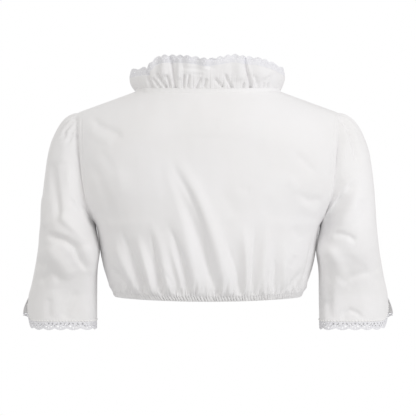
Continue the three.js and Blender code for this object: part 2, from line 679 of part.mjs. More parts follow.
// A place on the neckline, counted in seam points from one neck point round the back.
function neckAt(at) {
  const low = Math.floor(at);
  const a = neckLine[((low % neckLine.length) + neckLine.length) % neckLine.length];
  const b = neckLine[(((low + 1) % neckLine.length) + neckLine.length) % neckLine.length];
  const share = at - low;
  return {
    foot: a.foot.clone().lerp(b.foot, share),
    rising: a.rising.clone().lerp(b.rising, share).normalize(),
    facing: a.facing.clone().lerp(b.facing, share).normalize(),
    angle: 180 - mix(a.angle, b.angle, share),
  };
}

function neckBandRows() {
  return [0, neckBandHeight].map((height) => ({
    closed: true,
    turn: neckLine.length,
    points: evenly(neckLine.length * 2, 0, neckLine.length)
      .slice(0, -1)
      .map((at) => {
        const { foot, rising, facing } = neckAt(at);
        const point = foot.addScaledVector(rising, height);
        return {
          at,
          outer: point.clone().addScaledVector(facing, neckBandThickness / 2),
          inner: point.clone().addScaledVector(facing, -neckBandThickness / 2),
        };
      }),
  }));
}

// How far the frill stands out at a place round the neck (0 to 1) and a share of its height: close
// gathers at its foot that run together into broad flutes at its edge.
function frillWave(round, share) {
  const turn = 2 * Math.PI * round;
  const gathers = frillGatherDepth * (1 - 0.75 * share) * Math.cos(turn * frillGathers);
  const flutes = frillWaves.reduce((sum, wave) => sum + wave.depth * Math.sin(turn * wave.count + wave.phase), 0);
  return gathers + share ** 1.3 * flutes;
}

const frillColumns = 192;

// Outer points of the frill with its lace at a height along the cloth above the band.
function frillRow(heightOf) {
  return {
    closed: true,
    turn: frillColumns,
    points: evenly(frillColumns, 0, frillColumns)
      .slice(0, -1)
      .map((at) => {
        const { foot, rising, facing, angle } = neckAt((at / frillColumns) * neckLine.length);
        const clothHeight = frillAt.clothHeight(angle);
        const height = heightOf(clothHeight, at);
        const share = height / (clothHeight + laceWidth);
        const lean = frillAt.lean(angle) * height + frillAt.bulge(angle) * Math.sin(Math.PI * share);
        const wave = frillWave(at / frillColumns, share);
        const outer = foot
          .addScaledVector(rising, neckBandHeight + seamGap + height)
          .addScaledVector(facing, clothThickness / 2 + lean + wave);
        return { at, outer };
      }),
  };
}

const awayFromNeck = (point) => point.clone().sub(neckMiddle).setZ(0);

function frillRows() {
  return wallRows(
    [0, 0.3, 0.65, 1].map((share) => frillRow((clothHeight) => clothHeight * share)),
    clothThickness,
    awayFromNeck,
  );
}

// The lace on the frill's edge runs straight on from the frill's last row.
function collarLaceRows(frillEdge) {
  const free = frillRow(
    (clothHeight, at) => clothHeight + laceWidth - (at % 4 === 0 ? laceScallopDepth : 0),
  );
  const heights = [0, 1].map((share) =>
    frillEdge.points.map((p, i) => {
      const outer = p.outer.clone().lerp(free.points[i].outer, share);
      const inner = outer.clone().sub(p.outer).add(p.inner);
      const rise = neckAt((i / frillColumns) * neckLine.length).rising.multiplyScalar(laceGap);
      return { at: p.at, outer: outer.add(rise), inner: inner.add(rise) };
    }),
  );
  return heights.map((points) => ({ ...frillEdge, points }));
}

// The elastic casing: a ridged outside round a plain inside

function hemBandRows() {
  const count = hemColumns * 2;
  const ringRow = (rise) => ({
    closed: true,
    turn: count,
    points: evenly(count, 0, count)
      .slice(0, -1)
      .map((at) => {
        const panel = at <= hemColumns ? backPanel : frontPanel;
        const column = at <= hemColumns ? mix(-1, 1, at / hemColumns) : mix(1, -1, at / hemColumns - 1);
        const angle = column * 90 * degree;
        const lowest = hemHeight(angle);
        const edgeX = bodyAt[panel.edgeX](lowest + rise);
        const depth = bodyAt[panel.depth](lowest + rise);
        const outwards = new THREE.Vector3(
          Math.sin(angle) * depth,
          panel.facing * Math.cos(angle) * edgeX,
          0,
        ).normalize();
        const middle = new THREE.Vector3(
          Math.sin(angle) * edgeX,
          panel.facing * Math.cos(angle) ** panel.squareness * depth,
          lowest + rise,
        );
        const ridge = at % 2 === 0 ? hemRidgeDepth : -hemRidgeDepth;
        return {
          at,
          outer: middle.clone().addScaledVector(outwards, hemBandOutset + ridge),
          inner: middle.clone().addScaledVector(outwards, hemBandOutset + hemRidgeDepth - hemBandThickness),
        };
      }),
  });
  return [ringRow(hemBandHeight), ringRow(0)];
}

// Finishes and pieces

const cotton = () => new THREE.MeshStandardMaterial({ color: 0xf1f0ee, roughness: 0.88, metalness: 0 });
const lace = () => new THREE.MeshStandardMaterial({ color: 0xf4f4f5, roughness: 0.92, metalness: 0 });

function piece(name, rows, material) {
  const mesh = new THREE.Mesh(clothGeometry(rows), material);
  mesh.name = name;
  return mesh;
}

function mirrored(rows) {
  const flip = new THREE.Vector3(-1, 1, 1);
  return rows.map((row) => ({
    ...row,
    points: row.points.map((p) => ({
      at: p.at,
      outer: p.outer.clone().multiply(flip),
      inner: p.inner.clone().multiply(flip),
    })),
  }));
}

const blouse = new THREE.Group();
blouse.name = "dirndl_blouse";

const body = new THREE.Group();
body.add(piece("back", panelRows(backPanel), cotton()));
body.add(piece("front", panelRows(frontPanel), cotton()));
body.add(piece("hem_elastic_casing", hemBandRows(), cotton()));
blouse.add(body);

const neck = new THREE.Group();
neck.add(piece("neck_band", neckBandRows(), cotton()));
const frill = frillRows();
neck.add(piece("collar_frill", frill, cotton()));
neck.add(piece("collar_lace", collarLaceRows(frill[frill.length - 1]), lace()));
blouse.add(neck);

const sleeve = sleeveRows();
const cuffLace = cuffLaceRows(sleeve[sleeve.length - 1]);
for (const side of ["left", "right"]) {
  const turnedRows = side === "left" ? (rows) => rows : mirrored;
  const arm = new THREE.Group();
  arm.add(piece(`sleeve_${side}`, turnedRows(sleeve), cotton()));
  arm.add(piece(`cuff_lace_${side}`, turnedRows(cuffLace), lace()));
  blouse.add(arm);
}

export default blouse;
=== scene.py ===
# Dirndl blouse seen from the back, white cotton with a lace-edged frill, as it is worn
import math
import bpy
import bmesh
from mathutils import Matrix, Vector, noise


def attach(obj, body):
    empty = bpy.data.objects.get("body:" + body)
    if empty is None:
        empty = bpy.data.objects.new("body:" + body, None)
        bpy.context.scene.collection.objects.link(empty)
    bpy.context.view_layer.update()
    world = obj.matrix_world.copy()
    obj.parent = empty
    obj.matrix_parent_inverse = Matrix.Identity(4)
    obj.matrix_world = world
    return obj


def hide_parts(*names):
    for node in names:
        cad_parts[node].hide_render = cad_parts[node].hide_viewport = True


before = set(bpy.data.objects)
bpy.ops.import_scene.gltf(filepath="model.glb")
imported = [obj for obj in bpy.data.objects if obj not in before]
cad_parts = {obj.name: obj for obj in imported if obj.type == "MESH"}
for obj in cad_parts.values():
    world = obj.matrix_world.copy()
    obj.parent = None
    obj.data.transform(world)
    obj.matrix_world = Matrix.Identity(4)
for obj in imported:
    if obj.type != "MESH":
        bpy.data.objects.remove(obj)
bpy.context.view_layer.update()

mm = 0.001
degree = math.pi / 180


# small shaping helpers, all in millimetres
def mix(a, b, share):
    return a + (b - a) * share


def clamp(value, low, high):
    return min(high, max(low, value))


def bell(distance):
    return math.exp(-distance * distance)


def smoothStep(low, high, value):
    share = clamp((value - low) / (high - low), 0, 1)
    return share * share * (3 - 2 * share)


def ripple(x, y, seed):
    return noise.noise(Vector((x, y, seed * 7.31)))


# a smooth curve through a row of values that never overshoots them
def curveThrough(xs, ys):
    slopes = [(ys[i + 1] - ys[i]) / (xs[i + 1] - xs[i]) for i in range(len(xs) - 1)]
    tangents = []
    for i in range(len(xs)):
        before, after = slopes[max(i - 1, 0)], slopes[min(i, len(slopes) - 1)]
        tangents.append(0 if before * after <= 0 else 2 * before * after / (before + after))

    def at(x):
        x = clamp(x, xs[0], xs[-1])
        i = 0
        while i < len(xs) - 2 and xs[i + 1] < x:
            i += 1
        span = xs[i + 1] - xs[i]
        t = (x - xs[i]) / span
        rest = 1 - t
        return (ys[i] * (1 + 2 * t) * rest * rest + tangents[i] * span * t * rest * rest
                + ys[i + 1] * t * t * (3 - 2 * t) - tangents[i + 1] * span * t * t * rest)

    return at


# every column of a table as a smooth curve along one of them
def curvesAlong(table, key):
    return {name: curveThrough(table[key], column) for name, column in table.items()}


# the body: cross-sections from the hem up, as in the cut
blouse = {
    "neckHalfWidth": 110, "shoulderHalfWidth": 193, "shoulderSlope": 0.364, "neckRise": 22,
    "backNeckDrop": 5, "frontNeckDrop": 118, "frontNeckRounding": 1.65,
    "underarm": -200, "armholeFull": -135, "hemSide": -306.5, "hemDip": 4,
    "clothThickness": 0.8, "seamGap": 0.25, "topSpread": 62,
}
bodySections = {
    "height": [-311, -304, -298, -290, -275, -260, -240, -222, -200,
               -185, -160, -130, -100, -70, -45, -30, 0],
    "backX": [137, 140, 143, 147, 152.5, 157, 161, 163.5, 167.5,
              174, 181.5, 186.5, 189.5, 191.5, 192.8, 193, 193],
    "frontX": [137, 140, 143, 147, 152.5, 157, 161, 163.5, 167.5,
               172, 175, 176.5, 179.5, 184.5, 190.5, 193, 193],
    "backDepth": [88, 91, 94, 97, 100, 102, 103.5, 104.5, 105, 105.5, 105.5, 104, 102, 99, 96, 94, 90],
    "frontDepth": [86, 91, 97, 104, 114, 121, 127, 130, 131, 129, 123, 113, 101, 88, 77, 72, 64],
    "backSpread": [90, 90, 90, 90, 90, 90, 90, 90, 90, 82, 75, 70, 66, 63.5, 62, 62, 62],
    "frontSpread": [90, 90, 90, 90, 90, 90, 90, 90, 90, 84, 78, 72, 67, 64, 62, 62, 62],
}
bodyAt = curvesAlong(bodySections, "height")
backPanel = {"name": "back", "facing": 1, "scoop": 46, "ridgeRadius": 90, "squareness": 0.84,
             "flat": (0.50, 0.32), "area": 0.145}
frontPanel = {"name": "front", "facing": -1, "scoop": 42, "ridgeRadius": 120, "squareness": 0.86,
              "flat": (0.52, 0.34), "area": 0.14}

# the large folds that stand up from the elastic: foot x, top x, top height, depth, half width
bodyFolds = {
    "back": [
        (98, 138, -222, 4, 6.5), (91, 127, -196, -5.4, 8), (77, 106, -210, 5, 7), (67, 92, -204, -5, 7),
        (51, 76, -218, 4.4, 7), (43, 66, -226, -3.8, 5.5), (12, 55, -150, 4.8, 9), (27, 60, -180, -4, 6),
        (-14, 52, -112, -7.2, 8), (-31, 36, -104, 7.5, 12), (-48, -38, -208, -5.6, 7),
        (-56, -54, -190, 5.2, 8), (-63, -76, -182, -5, 6.5), (-78, -84, -176, 4, 7.5),
        (-98, -103, -190, -4.2, 6.5), (-112, -112, -188, 3.4, 8),
    ],
    "front": [
        (104, 122, -235, 3, 7), (88, 98, -225, -3.6, 6), (72, 82, -212, 4.4, 8), (56, 64, -222, -4, 6),
        (40, 44, -228, 3.6, 7), (23, 22, -205, -4.4, 7), (8, 3, -215, 3.8, 8), (-10, -12, -232, -3.4, 6),
        (-27, -30, -210, 4, 7), (-44, -50, -224, -3.8, 6), (-62, -72, -208, 4.6, 8),
        (-80, -92, -226, -4.2, 7), (-98, -112, -230, 3.2, 7),
    ],
}

# finer creases: depth (negative is a trough), half width, and a path of (x, height) points
bodyCreases = {
    "back": [
        (-2.6, 4.6, [(53, -104), (44, -124), (31, -146), (20, -168), (11, -192), (4, -222), (-1, -250),
                     (-8, -292)]),
        (2.4, 8, [(50, -92), (36, -118), (20, -146), (4, -178), (-7, -206), (-18, -240), (-25, -284)]),
        (1.6, 7, [(64, -104), (56, -132), (44, -166), (32, -200), (22, -244), (16, -296)]),
        (-1.6, 3, [(60, -196), (47, -222), (36, -250), (26, -298)]),
        (2, 4, [(58, -214), (48, -250), (40, -280), (38, -300)]),
        (1.4, 6, [(86, -186), (74, -216), (62, -250), (53, -296)]),
        (-2, 2.8, [(84, -208), (78, -240), (71, -268), (70, -300)]),
        (-1.8, 2.6, [(64, -262), (54, -282), (49, -300)]),
        (1.2, 5, [(106, -206), (96, -238), (86, -270), (80, -300)]),
        (-2.2, 3.6, [(128, -206), (118, -232), (106, -262), (90, -299)]),
        (1.4, 6, [(140, -208), (132, -238), (120, -268), (104, -298)]),
        (-2.4, 4, [(146, -258), (130, -276), (110, -299)]),
        (-2, 3.6, [(-27, -222), (-34, -244), (-42, -270), (-47, -298)]),
        (1.8, 4.4, [(-50, -196), (-54, -240), (-56, -298)]),
        (-2, 3.2, [(-70, -196), (-67, -226), (-64, -260), (-62, -299)]),
        (1, 6, [(-84, -190), (-82, -236), (-76, -294)]),
        (-2, 2.8, [(-88, -262), (-84, -299)]),
        (-2, 2.8, [(-98, -244), (-100, -266), (-97, -299)]),
        (1.2, 4, [(-110, -246), (-110, -296)]),
        (-2.2, 4, [(-142, -262), (-128, -280), (-112, -296)]),
        (-1.2, 6, [(-132, -242), (-120, -262)]),
        (-2.4, 2.6, [(-156, -204), (-153, -230), (-148, -254), (-142, -276), (-135, -295)]),
        (1.6, 3, [(-157, -222), (-154, -246), (-148, -268), (-142, -290)]),
        (-1.2, 7, [(-124, -200), (-138, -222)]),
        (-2, 5, [(178, -38), (162, -52), (142, -62), (122, -71)]),
        (1.4, 7, [(180, -56), (162, -68), (138, -80)]),
        (-1, 8, [(162, -86), (148, -104), (132, -126)]),
        (0.8, 9, [(150, -96), (130, -128), (124, -160)]),
        (-1.2, 9, [(184, -92), (162, -128), (146, -170), (138, -206)]),
        (-1.2, 6, [(-118, -84), (-140, -105), (-160, -125)]),
        (1.2, 7, [(-116, -128), (-132, -151)]),
        (-2, 5.5, [(-128, -152), (-148, -163), (-170, -161)]),
        (1.4, 7, [(-132, -166), (-150, -178), (-164, -180)]),
        (-0.8, 9, [(-160, -60), (-146, -90), (-132, -116)]),
        (-1.2, 11, [(-12, -138), (-30, -164), (-38, -190)]),
        (-0.8, 6, [(-40, -146), (-62, -148)]),
        (-0.5, 2.4, [(38, -72), (4, -73.5), (-34, -74)]),
    ],
    "front": [
        (-2.2, 4, [(58, -150), (52, -196), (34, -240), (26, -288)]),
        (-2.4, 4, [(-64, -152), (-56, -198), (-46, -246), (-44, -292)]),
        (-2, 3.4, [(96, -178), (92, -220), (84, -260), (82, -294)]),
        (-2, 3.4, [(-104, -182), (-96, -224), (-88, -262), (-82, -294)]),
        (-1.9, 3.4, [(8, -196), (4, -236), (-6, -288)]),
        (1.8, 7, [(76, -168), (70, -216), (60, -262)]),
        (1.8, 7, [(-80, -170), (-72, -220), (-64, -264)]),
        (-1.3, 6, [(150, -66), (124, -92), (104, -122)]),
        (-1.3, 6, [(-152, -70), (-128, -96), (-110, -124)]),
        (-1.2, 6, [(160, -186), (134, -178), (112, -176)]),
        (-1.2, 6, [(-160, -182), (-136, -176), (-116, -176)]),
    ],
}
bust = {"x": 76, "height": -186, "radius": 56, "depth": 8}
hemGathers = {"above": 9, "pitch": 5.4, "height": 30, "depth": 2.3, "lean": 0.12}
bodySlack = {"foldStrength": 0.92, "bunchedSide": 1.25, "broad": 0.9, "fine": 0.4}
armholeGroove = {"place": 0.042, "width": 0.008, "left": 0.9, "right": 0.45}
casing = {
    "height": 7.5, "thickness": 3.4, "ruches": 168, "columnsPerRuche": 9, "ruchDepth": 2.2, "slant": 0.8,
    "groove": 0.5, "uneven": 0.45, "seamEase": -0.1,
}


def creaseRelief(creases, a, b, start=0.36):
    relief = 0
    for depth, width, path, low, high in creases:
        reach = 2.4 * width
        if b < low - reach or b > high + reach:
            continue
        best, bestAt = reach, 0
        for i in range(len(path) - 1):
            ax, ay = path[i]
            dx, dy = path[i + 1][0] - ax, path[i + 1][1] - ay
            along = clamp(((a - ax) * dx + (b - ay) * dy) / (dx * dx + dy * dy), 0, 1)
            away = math.hypot(a - ax - along * dx, b - ay - along * dy)
            if away < best:
                best, bestAt = away, (i + along) / (len(path) - 1)
        if best < reach:
            fade = smoothStep(-0.02, start, bestAt) * smoothStep(1.02, 0.8, bestAt)
            relief += depth * fade * bell(best / width)
    return relief


# adds each crease's lowest and highest point, so that far ones are passed over
def measureCreases(creases):
    for i, (depth, width, path) in enumerate(creases):
        heights = [point[1] for point in path]
        creases[i] = (depth, width, path, min(heights), max(heights))


for creaseList in bodyCreases.values():
    measureCreases(creaseList)


def ridgeHeight(x):
    across = abs(x)
    if across >= blouse["neckHalfWidth"]:
        return -blouse["shoulderSlope"] * (across - blouse["neckHalfWidth"])
    return blouse["neckRise"] * (1 - (across / blouse["neckHalfWidth"]) ** 2)


topSpread = blouse["topSpread"] * degree
neckShare = blouse["neckHalfWidth"] / blouse["shoulderHalfWidth"]
neckColumn = math.asin(neckShare * math.sin(topSpread)) / topSpread


def topEdgeHeight(panel, column):
    across = abs(column)
    if across >= neckColumn:
        return ridgeHeight(blouse["shoulderHalfWidth"] * math.sin(across * topSpread) / math.sin(topSpread))
    share = across / neckColumn
    if panel is backPanel:
        return -blouse["backNeckDrop"] * (1 - share * share)
    return -blouse["frontNeckDrop"] * (1 - share ** blouse["frontNeckRounding"])


def hemHeight(angle):
    return blouse["hemSide"] - blouse["hemDip"] * math.cos(angle) ** 2


def hemArcTable():
    steps, gone, lengths = 60, 0, [0]
    halfWidth, depth = bodySections["backX"][0], bodySections["backDepth"][0]
    for i in range(steps):
        turn = (i + 0.5) / steps * 90 * degree
        gone += math.hypot(halfWidth * math.cos(turn), depth * math.sin(turn))
        lengths.append(gone)
    return curveThrough([i / steps for i in range(steps + 1)], [length / gone for length in lengths])


hemArc = hemArcTable()  # a place across half a panel's foot, by its real length


# the ruches of the elastic casing, which run on into the foot of both panels
def hemRuche(around, up):
    column = around * 4 - 1 if around <= 0.5 else 3 - around * 4
    evenly = math.copysign(hemArc(abs(column)), column)
    around = (1 + evenly) / 4 if around <= 0.5 else (3 - evenly) / 4
    count = around * casing["ruches"] - casing["slant"] * up + 0.55 * ripple(around * 90, 0, 51)
    uneven = 1 + casing["uneven"] * 2 * ripple(around * 140, up, 52)
    return casing["ruchDepth"] * uneven * (0.42 - bell(math.sin(math.pi * count) / casing["groove"]))


def armholeScoop(panel, height, across):
    share = clamp((blouse["armholeFull"] - height) / (blouse["armholeFull"] - blouse["underarm"]), 0, 1)
    atEdge = 0 if height <= blouse["underarm"] else math.sqrt(1 - share * share)
    inside = smoothStep(-232, -128, height)  # the curve softens away from the armhole's edge
    return panel["scoop"] * mix(inside, atEdge, smoothStep(0.82, 1, across))


def bodyRelief(panel, x, height, column):
    relief = 0
    for footX, topX, topHeight, depth, width in bodyFolds[panel["name"]]:
        rise = (height - blouse["hemSide"]) / (topHeight - blouse["hemSide"])
        if 0 <= rise <= 1:
            centre = mix(footX, topX, rise ** 1.15)
            strength = (0.5 + 0.5 * smoothStep(0, 0.2, rise)) * (1 - smoothStep(0.4, 1, rise))
            wider = width * (0.85 + 0.85 * rise)
            relief += bodySlack["foldStrength"] * depth * strength * bell((x - centre) / wider)
    relief += creaseRelief(bodyCreases[panel["name"]], x, height)
    if panel is backPanel:
        relief *= mix(1, bodySlack["bunchedSide"], smoothStep(20, 90, x))  # the left side bunches more
    if panel is frontPanel:
        away = math.hypot(abs(x) - bust["x"], height - bust["height"]) / bust["radius"]
        relief += bust["depth"] * bell(away)
    # the close gathers just above the elastic, uneven in height and pitch
    seed = 3 if panel is backPanel else 8
    uneven = 0.65 + 0.7 * abs(ripple(x / 21, 0, seed + 1))
    start = blouse["hemSide"] + hemGathers["above"]
    near = 1 - smoothStep(start, start + hemGathers["height"] * uneven, height)
    lean = x + hemGathers["lean"] * (height - blouse["hemSide"])
    relief += hemGathers["depth"] * near * 2 * ripple(lean / hemGathers["pitch"], height / 60, seed)
    # the slack of soft cotton, a few tenths of a millimetre over the whole panel
    relief += (bodySlack["broad"] * ripple(x / 46, height / 62, seed + 2)
               + bodySlack["fine"] * ripple(x / 17, height / 26, seed + 3))
    # all folds pinch in where the panel is sewn into the casing
    above = height - hemHeight(column * 90 * degree) - casing["height"]
    relief *= (1 - smoothStep(0.9, 1, abs(column))) * mix(0.1, 1, smoothStep(-1, 6, above))
    if above < 16:
        around = (column + 1) / 4 if panel is backPanel else (3 - column) / 4
        fade = 1 - smoothStep(0.5, 6 + 9 * uneven, above)
        relief += hemRuche(around, 1) * fade * (1 - smoothStep(0.985, 1, abs(column)))
    if height > blouse["underarm"] and abs(column) > 0.9:  # the stitches draw a line beside the armhole
        depth = armholeGroove["left" if column > 0 else "right"]
        relief -= depth * bell((1 - abs(column) - armholeGroove["place"]) / armholeGroove["width"])
    return relief


def panelPoint(panel, column, drop):
    gap, name, across = blouse["seamGap"], panel["name"], abs(column)
    side = math.copysign(1, column)
    lowest = hemHeight(across * 90 * degree) + casing["height"] + gap
    height = mix(topEdgeHeight(panel, column), lowest, drop)
    spread = bodyAt[name + "Spread"](height) * degree
    angle = across * spread
    edgeX = bodyAt[name + "X"](height)
    x = side * edgeX * math.sin(angle) / math.sin(spread)
    centreDepth = bodyAt[name + "Depth"](height)
    roundness = clamp((math.cos(angle) - math.cos(spread)) / (1 - math.cos(spread)), 0, 1)
    depth = mix(armholeScoop(panel, height, across), centreDepth, roundness ** panel["squareness"])
    below = clamp((ridgeHeight(x) - height) / panel["ridgeRadius"], 0, 1)
    depth *= math.sqrt(1 - (1 - below) ** 2)
    outX, outY = math.sin(angle) * centreDepth, math.cos(angle) * edgeX
    length = math.hypot(outX, outY)
    relief = bodyRelief(panel, x, height, column) * smoothStep(0, 0.25, below)
    return Vector((x + side * outX / length * relief,
                   panel["facing"] * (depth + outY / length * relief + gap / 2), height))


underarmDrop = ((ridgeHeight(193) - blouse["underarm"])
                / (ridgeHeight(193) - (blouse["hemSide"] + casing["height"] + blouse["seamGap"])))


def panelNormal(panel, column, drop):
    step = 0.004
    columns = (max(column - step, -1), min(column + step, 1))
    drops = (max(drop - step, 0), min(drop + step, 1))
    across = panelPoint(panel, columns[1], drop) - panelPoint(panel, columns[0], drop)
    down = panelPoint(panel, column, drops[1]) - panelPoint(panel, column, drops[0])
    return (across.cross(down) * panel["facing"]).normalized()


# cloth made from a grid: place(u, v) gives each point, u along the width and v down the length
def clothPiece(name, columns, rows, place, flat, outward, closed=False):
    bm = bmesh.new()
    uvLayer = bm.loops.layers.uv.new("weave")
    bmesh.ops.create_grid(bm, x_segments=columns, y_segments=rows, size=1)
    for face in bm.faces:
        face.smooth = True
        for loop in face.loops:
            u, v = (loop.vert.co.x + 1) / 2, (1 - loop.vert.co.y) / 2
            loop[uvLayer].uv = (u * flat[0], v * flat[1])
    for vert in bm.verts:
        vert.co = place((vert.co.x + 1) / 2, (1 - vert.co.y) / 2) * mm
    if closed:
        bmesh.ops.remove_doubles(bm, verts=bm.verts, dist=1e-6)
    return finishCloth(bm, name, outward, blouse["clothThickness"])


def finishCloth(bm, name, outward, thickness):
    bm.normal_update()
    facing = sum(face.normal.dot(outward(face.calc_center_median() / mm)) * face.calc_area()
                 for face in bm.faces)
    if facing < 0:
        bmesh.ops.reverse_faces(bm, faces=bm.faces)
    piece = addObject(bm, name)
    wall = piece.modifiers.new("cloth thickness", "SOLIDIFY")
    wall.thickness = thickness * mm
    wall.offset = -1
    thick = bpy.data.meshes.new_from_object(piece.evaluated_get(bpy.context.evaluated_depsgraph_get()))
    piece.modifiers.remove(wall)
    thin, piece.data = piece.data, thick
    bpy.data.meshes.remove(thin)
    piece.data.name = name
    piece.data.set_sharp_from_angle(angle=62 * degree)  # a cut edge doesn't shade the cloth beside it
    return piece


# a closed ring with the given section of (across, up) points; place(round_, across, up) gives each point
def ringPiece(name, columns, section, weaveSize, sharpAngle, place):
    bm = bmesh.new()
    uvLayer = bm.loops.layers.uv.new("weave")
    bmesh.ops.create_grid(bm, x_segments=columns, y_segments=len(section), size=1)
    for face in bm.faces:
        face.smooth = True
        for loop in face.loops:
            x, y, _ = loop.vert.co
            loop[uvLayer].uv = ((x + 1) * weaveSize[0], (y + 1) * weaveSize[1])
    for vert in bm.verts:
        across, up = section[round((vert.co.y + 1) / 2 * len(section)) % len(section)]
        vert.co = place((vert.co.x + 1) / 2, across, up) * mm
    bmesh.ops.remove_doubles(bm, verts=bm.verts, dist=1e-6)
    bmesh.ops.recalc_face_normals(bm, faces=bm.faces)
    piece = addObject(bm, name)
    piece.data.set_sharp_from_angle(angle=sharpAngle * degree)
    return piece


def addObject(bm, name):
    mesh = bpy.data.meshes.new(name)
    bm.to_mesh(mesh)
    bm.free()
    piece = bpy.data.objects.new(name, mesh)
    bpy.context.scene.collection.objects.link(piece)
    return piece


# each piece rides on the one body and takes the place of its node
def worn(piece, node):
    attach(piece, "root")
    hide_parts(node)
    return piece


# front and back panels
panelGrid = {"columns": 420, "rows": 108, "neckColumns": 80}


def panelPiece(panel, name, flat):
    half = panelGrid["columns"] // 2

    def place(u, v):
        step = abs(u * 2 - 1) * half
        if step <= panelGrid["neckColumns"]:
            across = neckColumn * step / panelGrid["neckColumns"]
        else:
            across = mix(neckColumn, 1, (step - panelGrid["neckColumns"]) / (half - panelGrid["neckColumns"]))
        drop = mix(v, 1 - (1 - v) ** 2, 0.52)
        return panelPoint(panel, math.copysign(across, u - 0.5), drop)

    def outward(point):
        return Vector((point.x, point.y, 0))

    piece = clothPiece(name, panelGrid["columns"], panelGrid["rows"], place, flat, outward)
    return worn(piece, panel["name"])


backCloth = panelPiece(backPanel, "backCloth", backPanel["flat"])
frontCloth = panelPiece(frontPanel, "frontCloth", frontPanel["flat"])
print("front and back panels made")

# sleeves
sleeve = {
    "height": [-354, -338, -306, -282, -262, -250, -238, -222, -200],
    "innerX": [167, 166.5, 166.3, 166, 164.8, 162.8, 161.4, 163.2, 168.5],
    "outerX": [272, 271.5, 269, 264, 260, 257.6, 255.6, 253.6, 251.5],
    "halfDepth": [49, 49, 50, 52, 54, 55.6, 57, 58.5, 60],
    "backwards": [0, 0, 0, 3, 8, 12, 15, 16, 14],
}
sleeveCut = {
    "ringHeight": -213, "ringTilt": 13, "cuff": -342, "slitTop": -307, "slitHalfAngle": 0.07,
    "cornerRise": (23, 11), "cornerReach": 0.33, "slitFlare": 15, "flareReach": 0.11,
    "squareAngle": 140, "squareWidth": 42, "squareness": 2.6, "tuck": -0.7, "under": 1.0,
    "columns": 190, "capRows": 62, "tubeRows": 46, "slitRows": 18, "flat": (0.40, 0.345), "area": 0.094,
}
sleeveStart = {  # how the sleeve leaves the armhole, from the shoulder tip (0) to the underarm (1)
    "place": [0, 0.14, 0.3, 0.5, 0.75, 0.92, 1],
    "along": [60, 50, 34, 14, 9, 9, 12],
    "outward": [94, 82, 56, 42, 20, 10, 9],
    "upward": [22, 20, 14, 12, 10, 8, 4],
    "fall": [150, 145, 125, 96, 56, 30, 24],
}
sleeveHang = {  # how each sleeve differs: further out at its head, and at its outer side
    "left": {"outward": 20, "upward": -9, "outer": -1.3},
    "right": {"outward": 28, "upward": -2, "outer": 0.3},
}
sleeveFolds = [  # angle from the outer side, height, angle width, height width, rise, depth
    (75, -165, 26, 9, 26, -3.4), (95, -205, 34, 8, -20, -4.4), (110, -182, 26, 12, -14, 3.2),
    (70, -262, 30, 9, 18, -3), (-70, -212, 34, 9, 20, -3.6), (-105, -178, 28, 10, 12, 3),
    (-80, -268, 30, 9, -16, -2.8),
]
sleeveAt, startAt = curvesAlong(sleeve, "height"), curvesAlong(sleeveStart, "place")

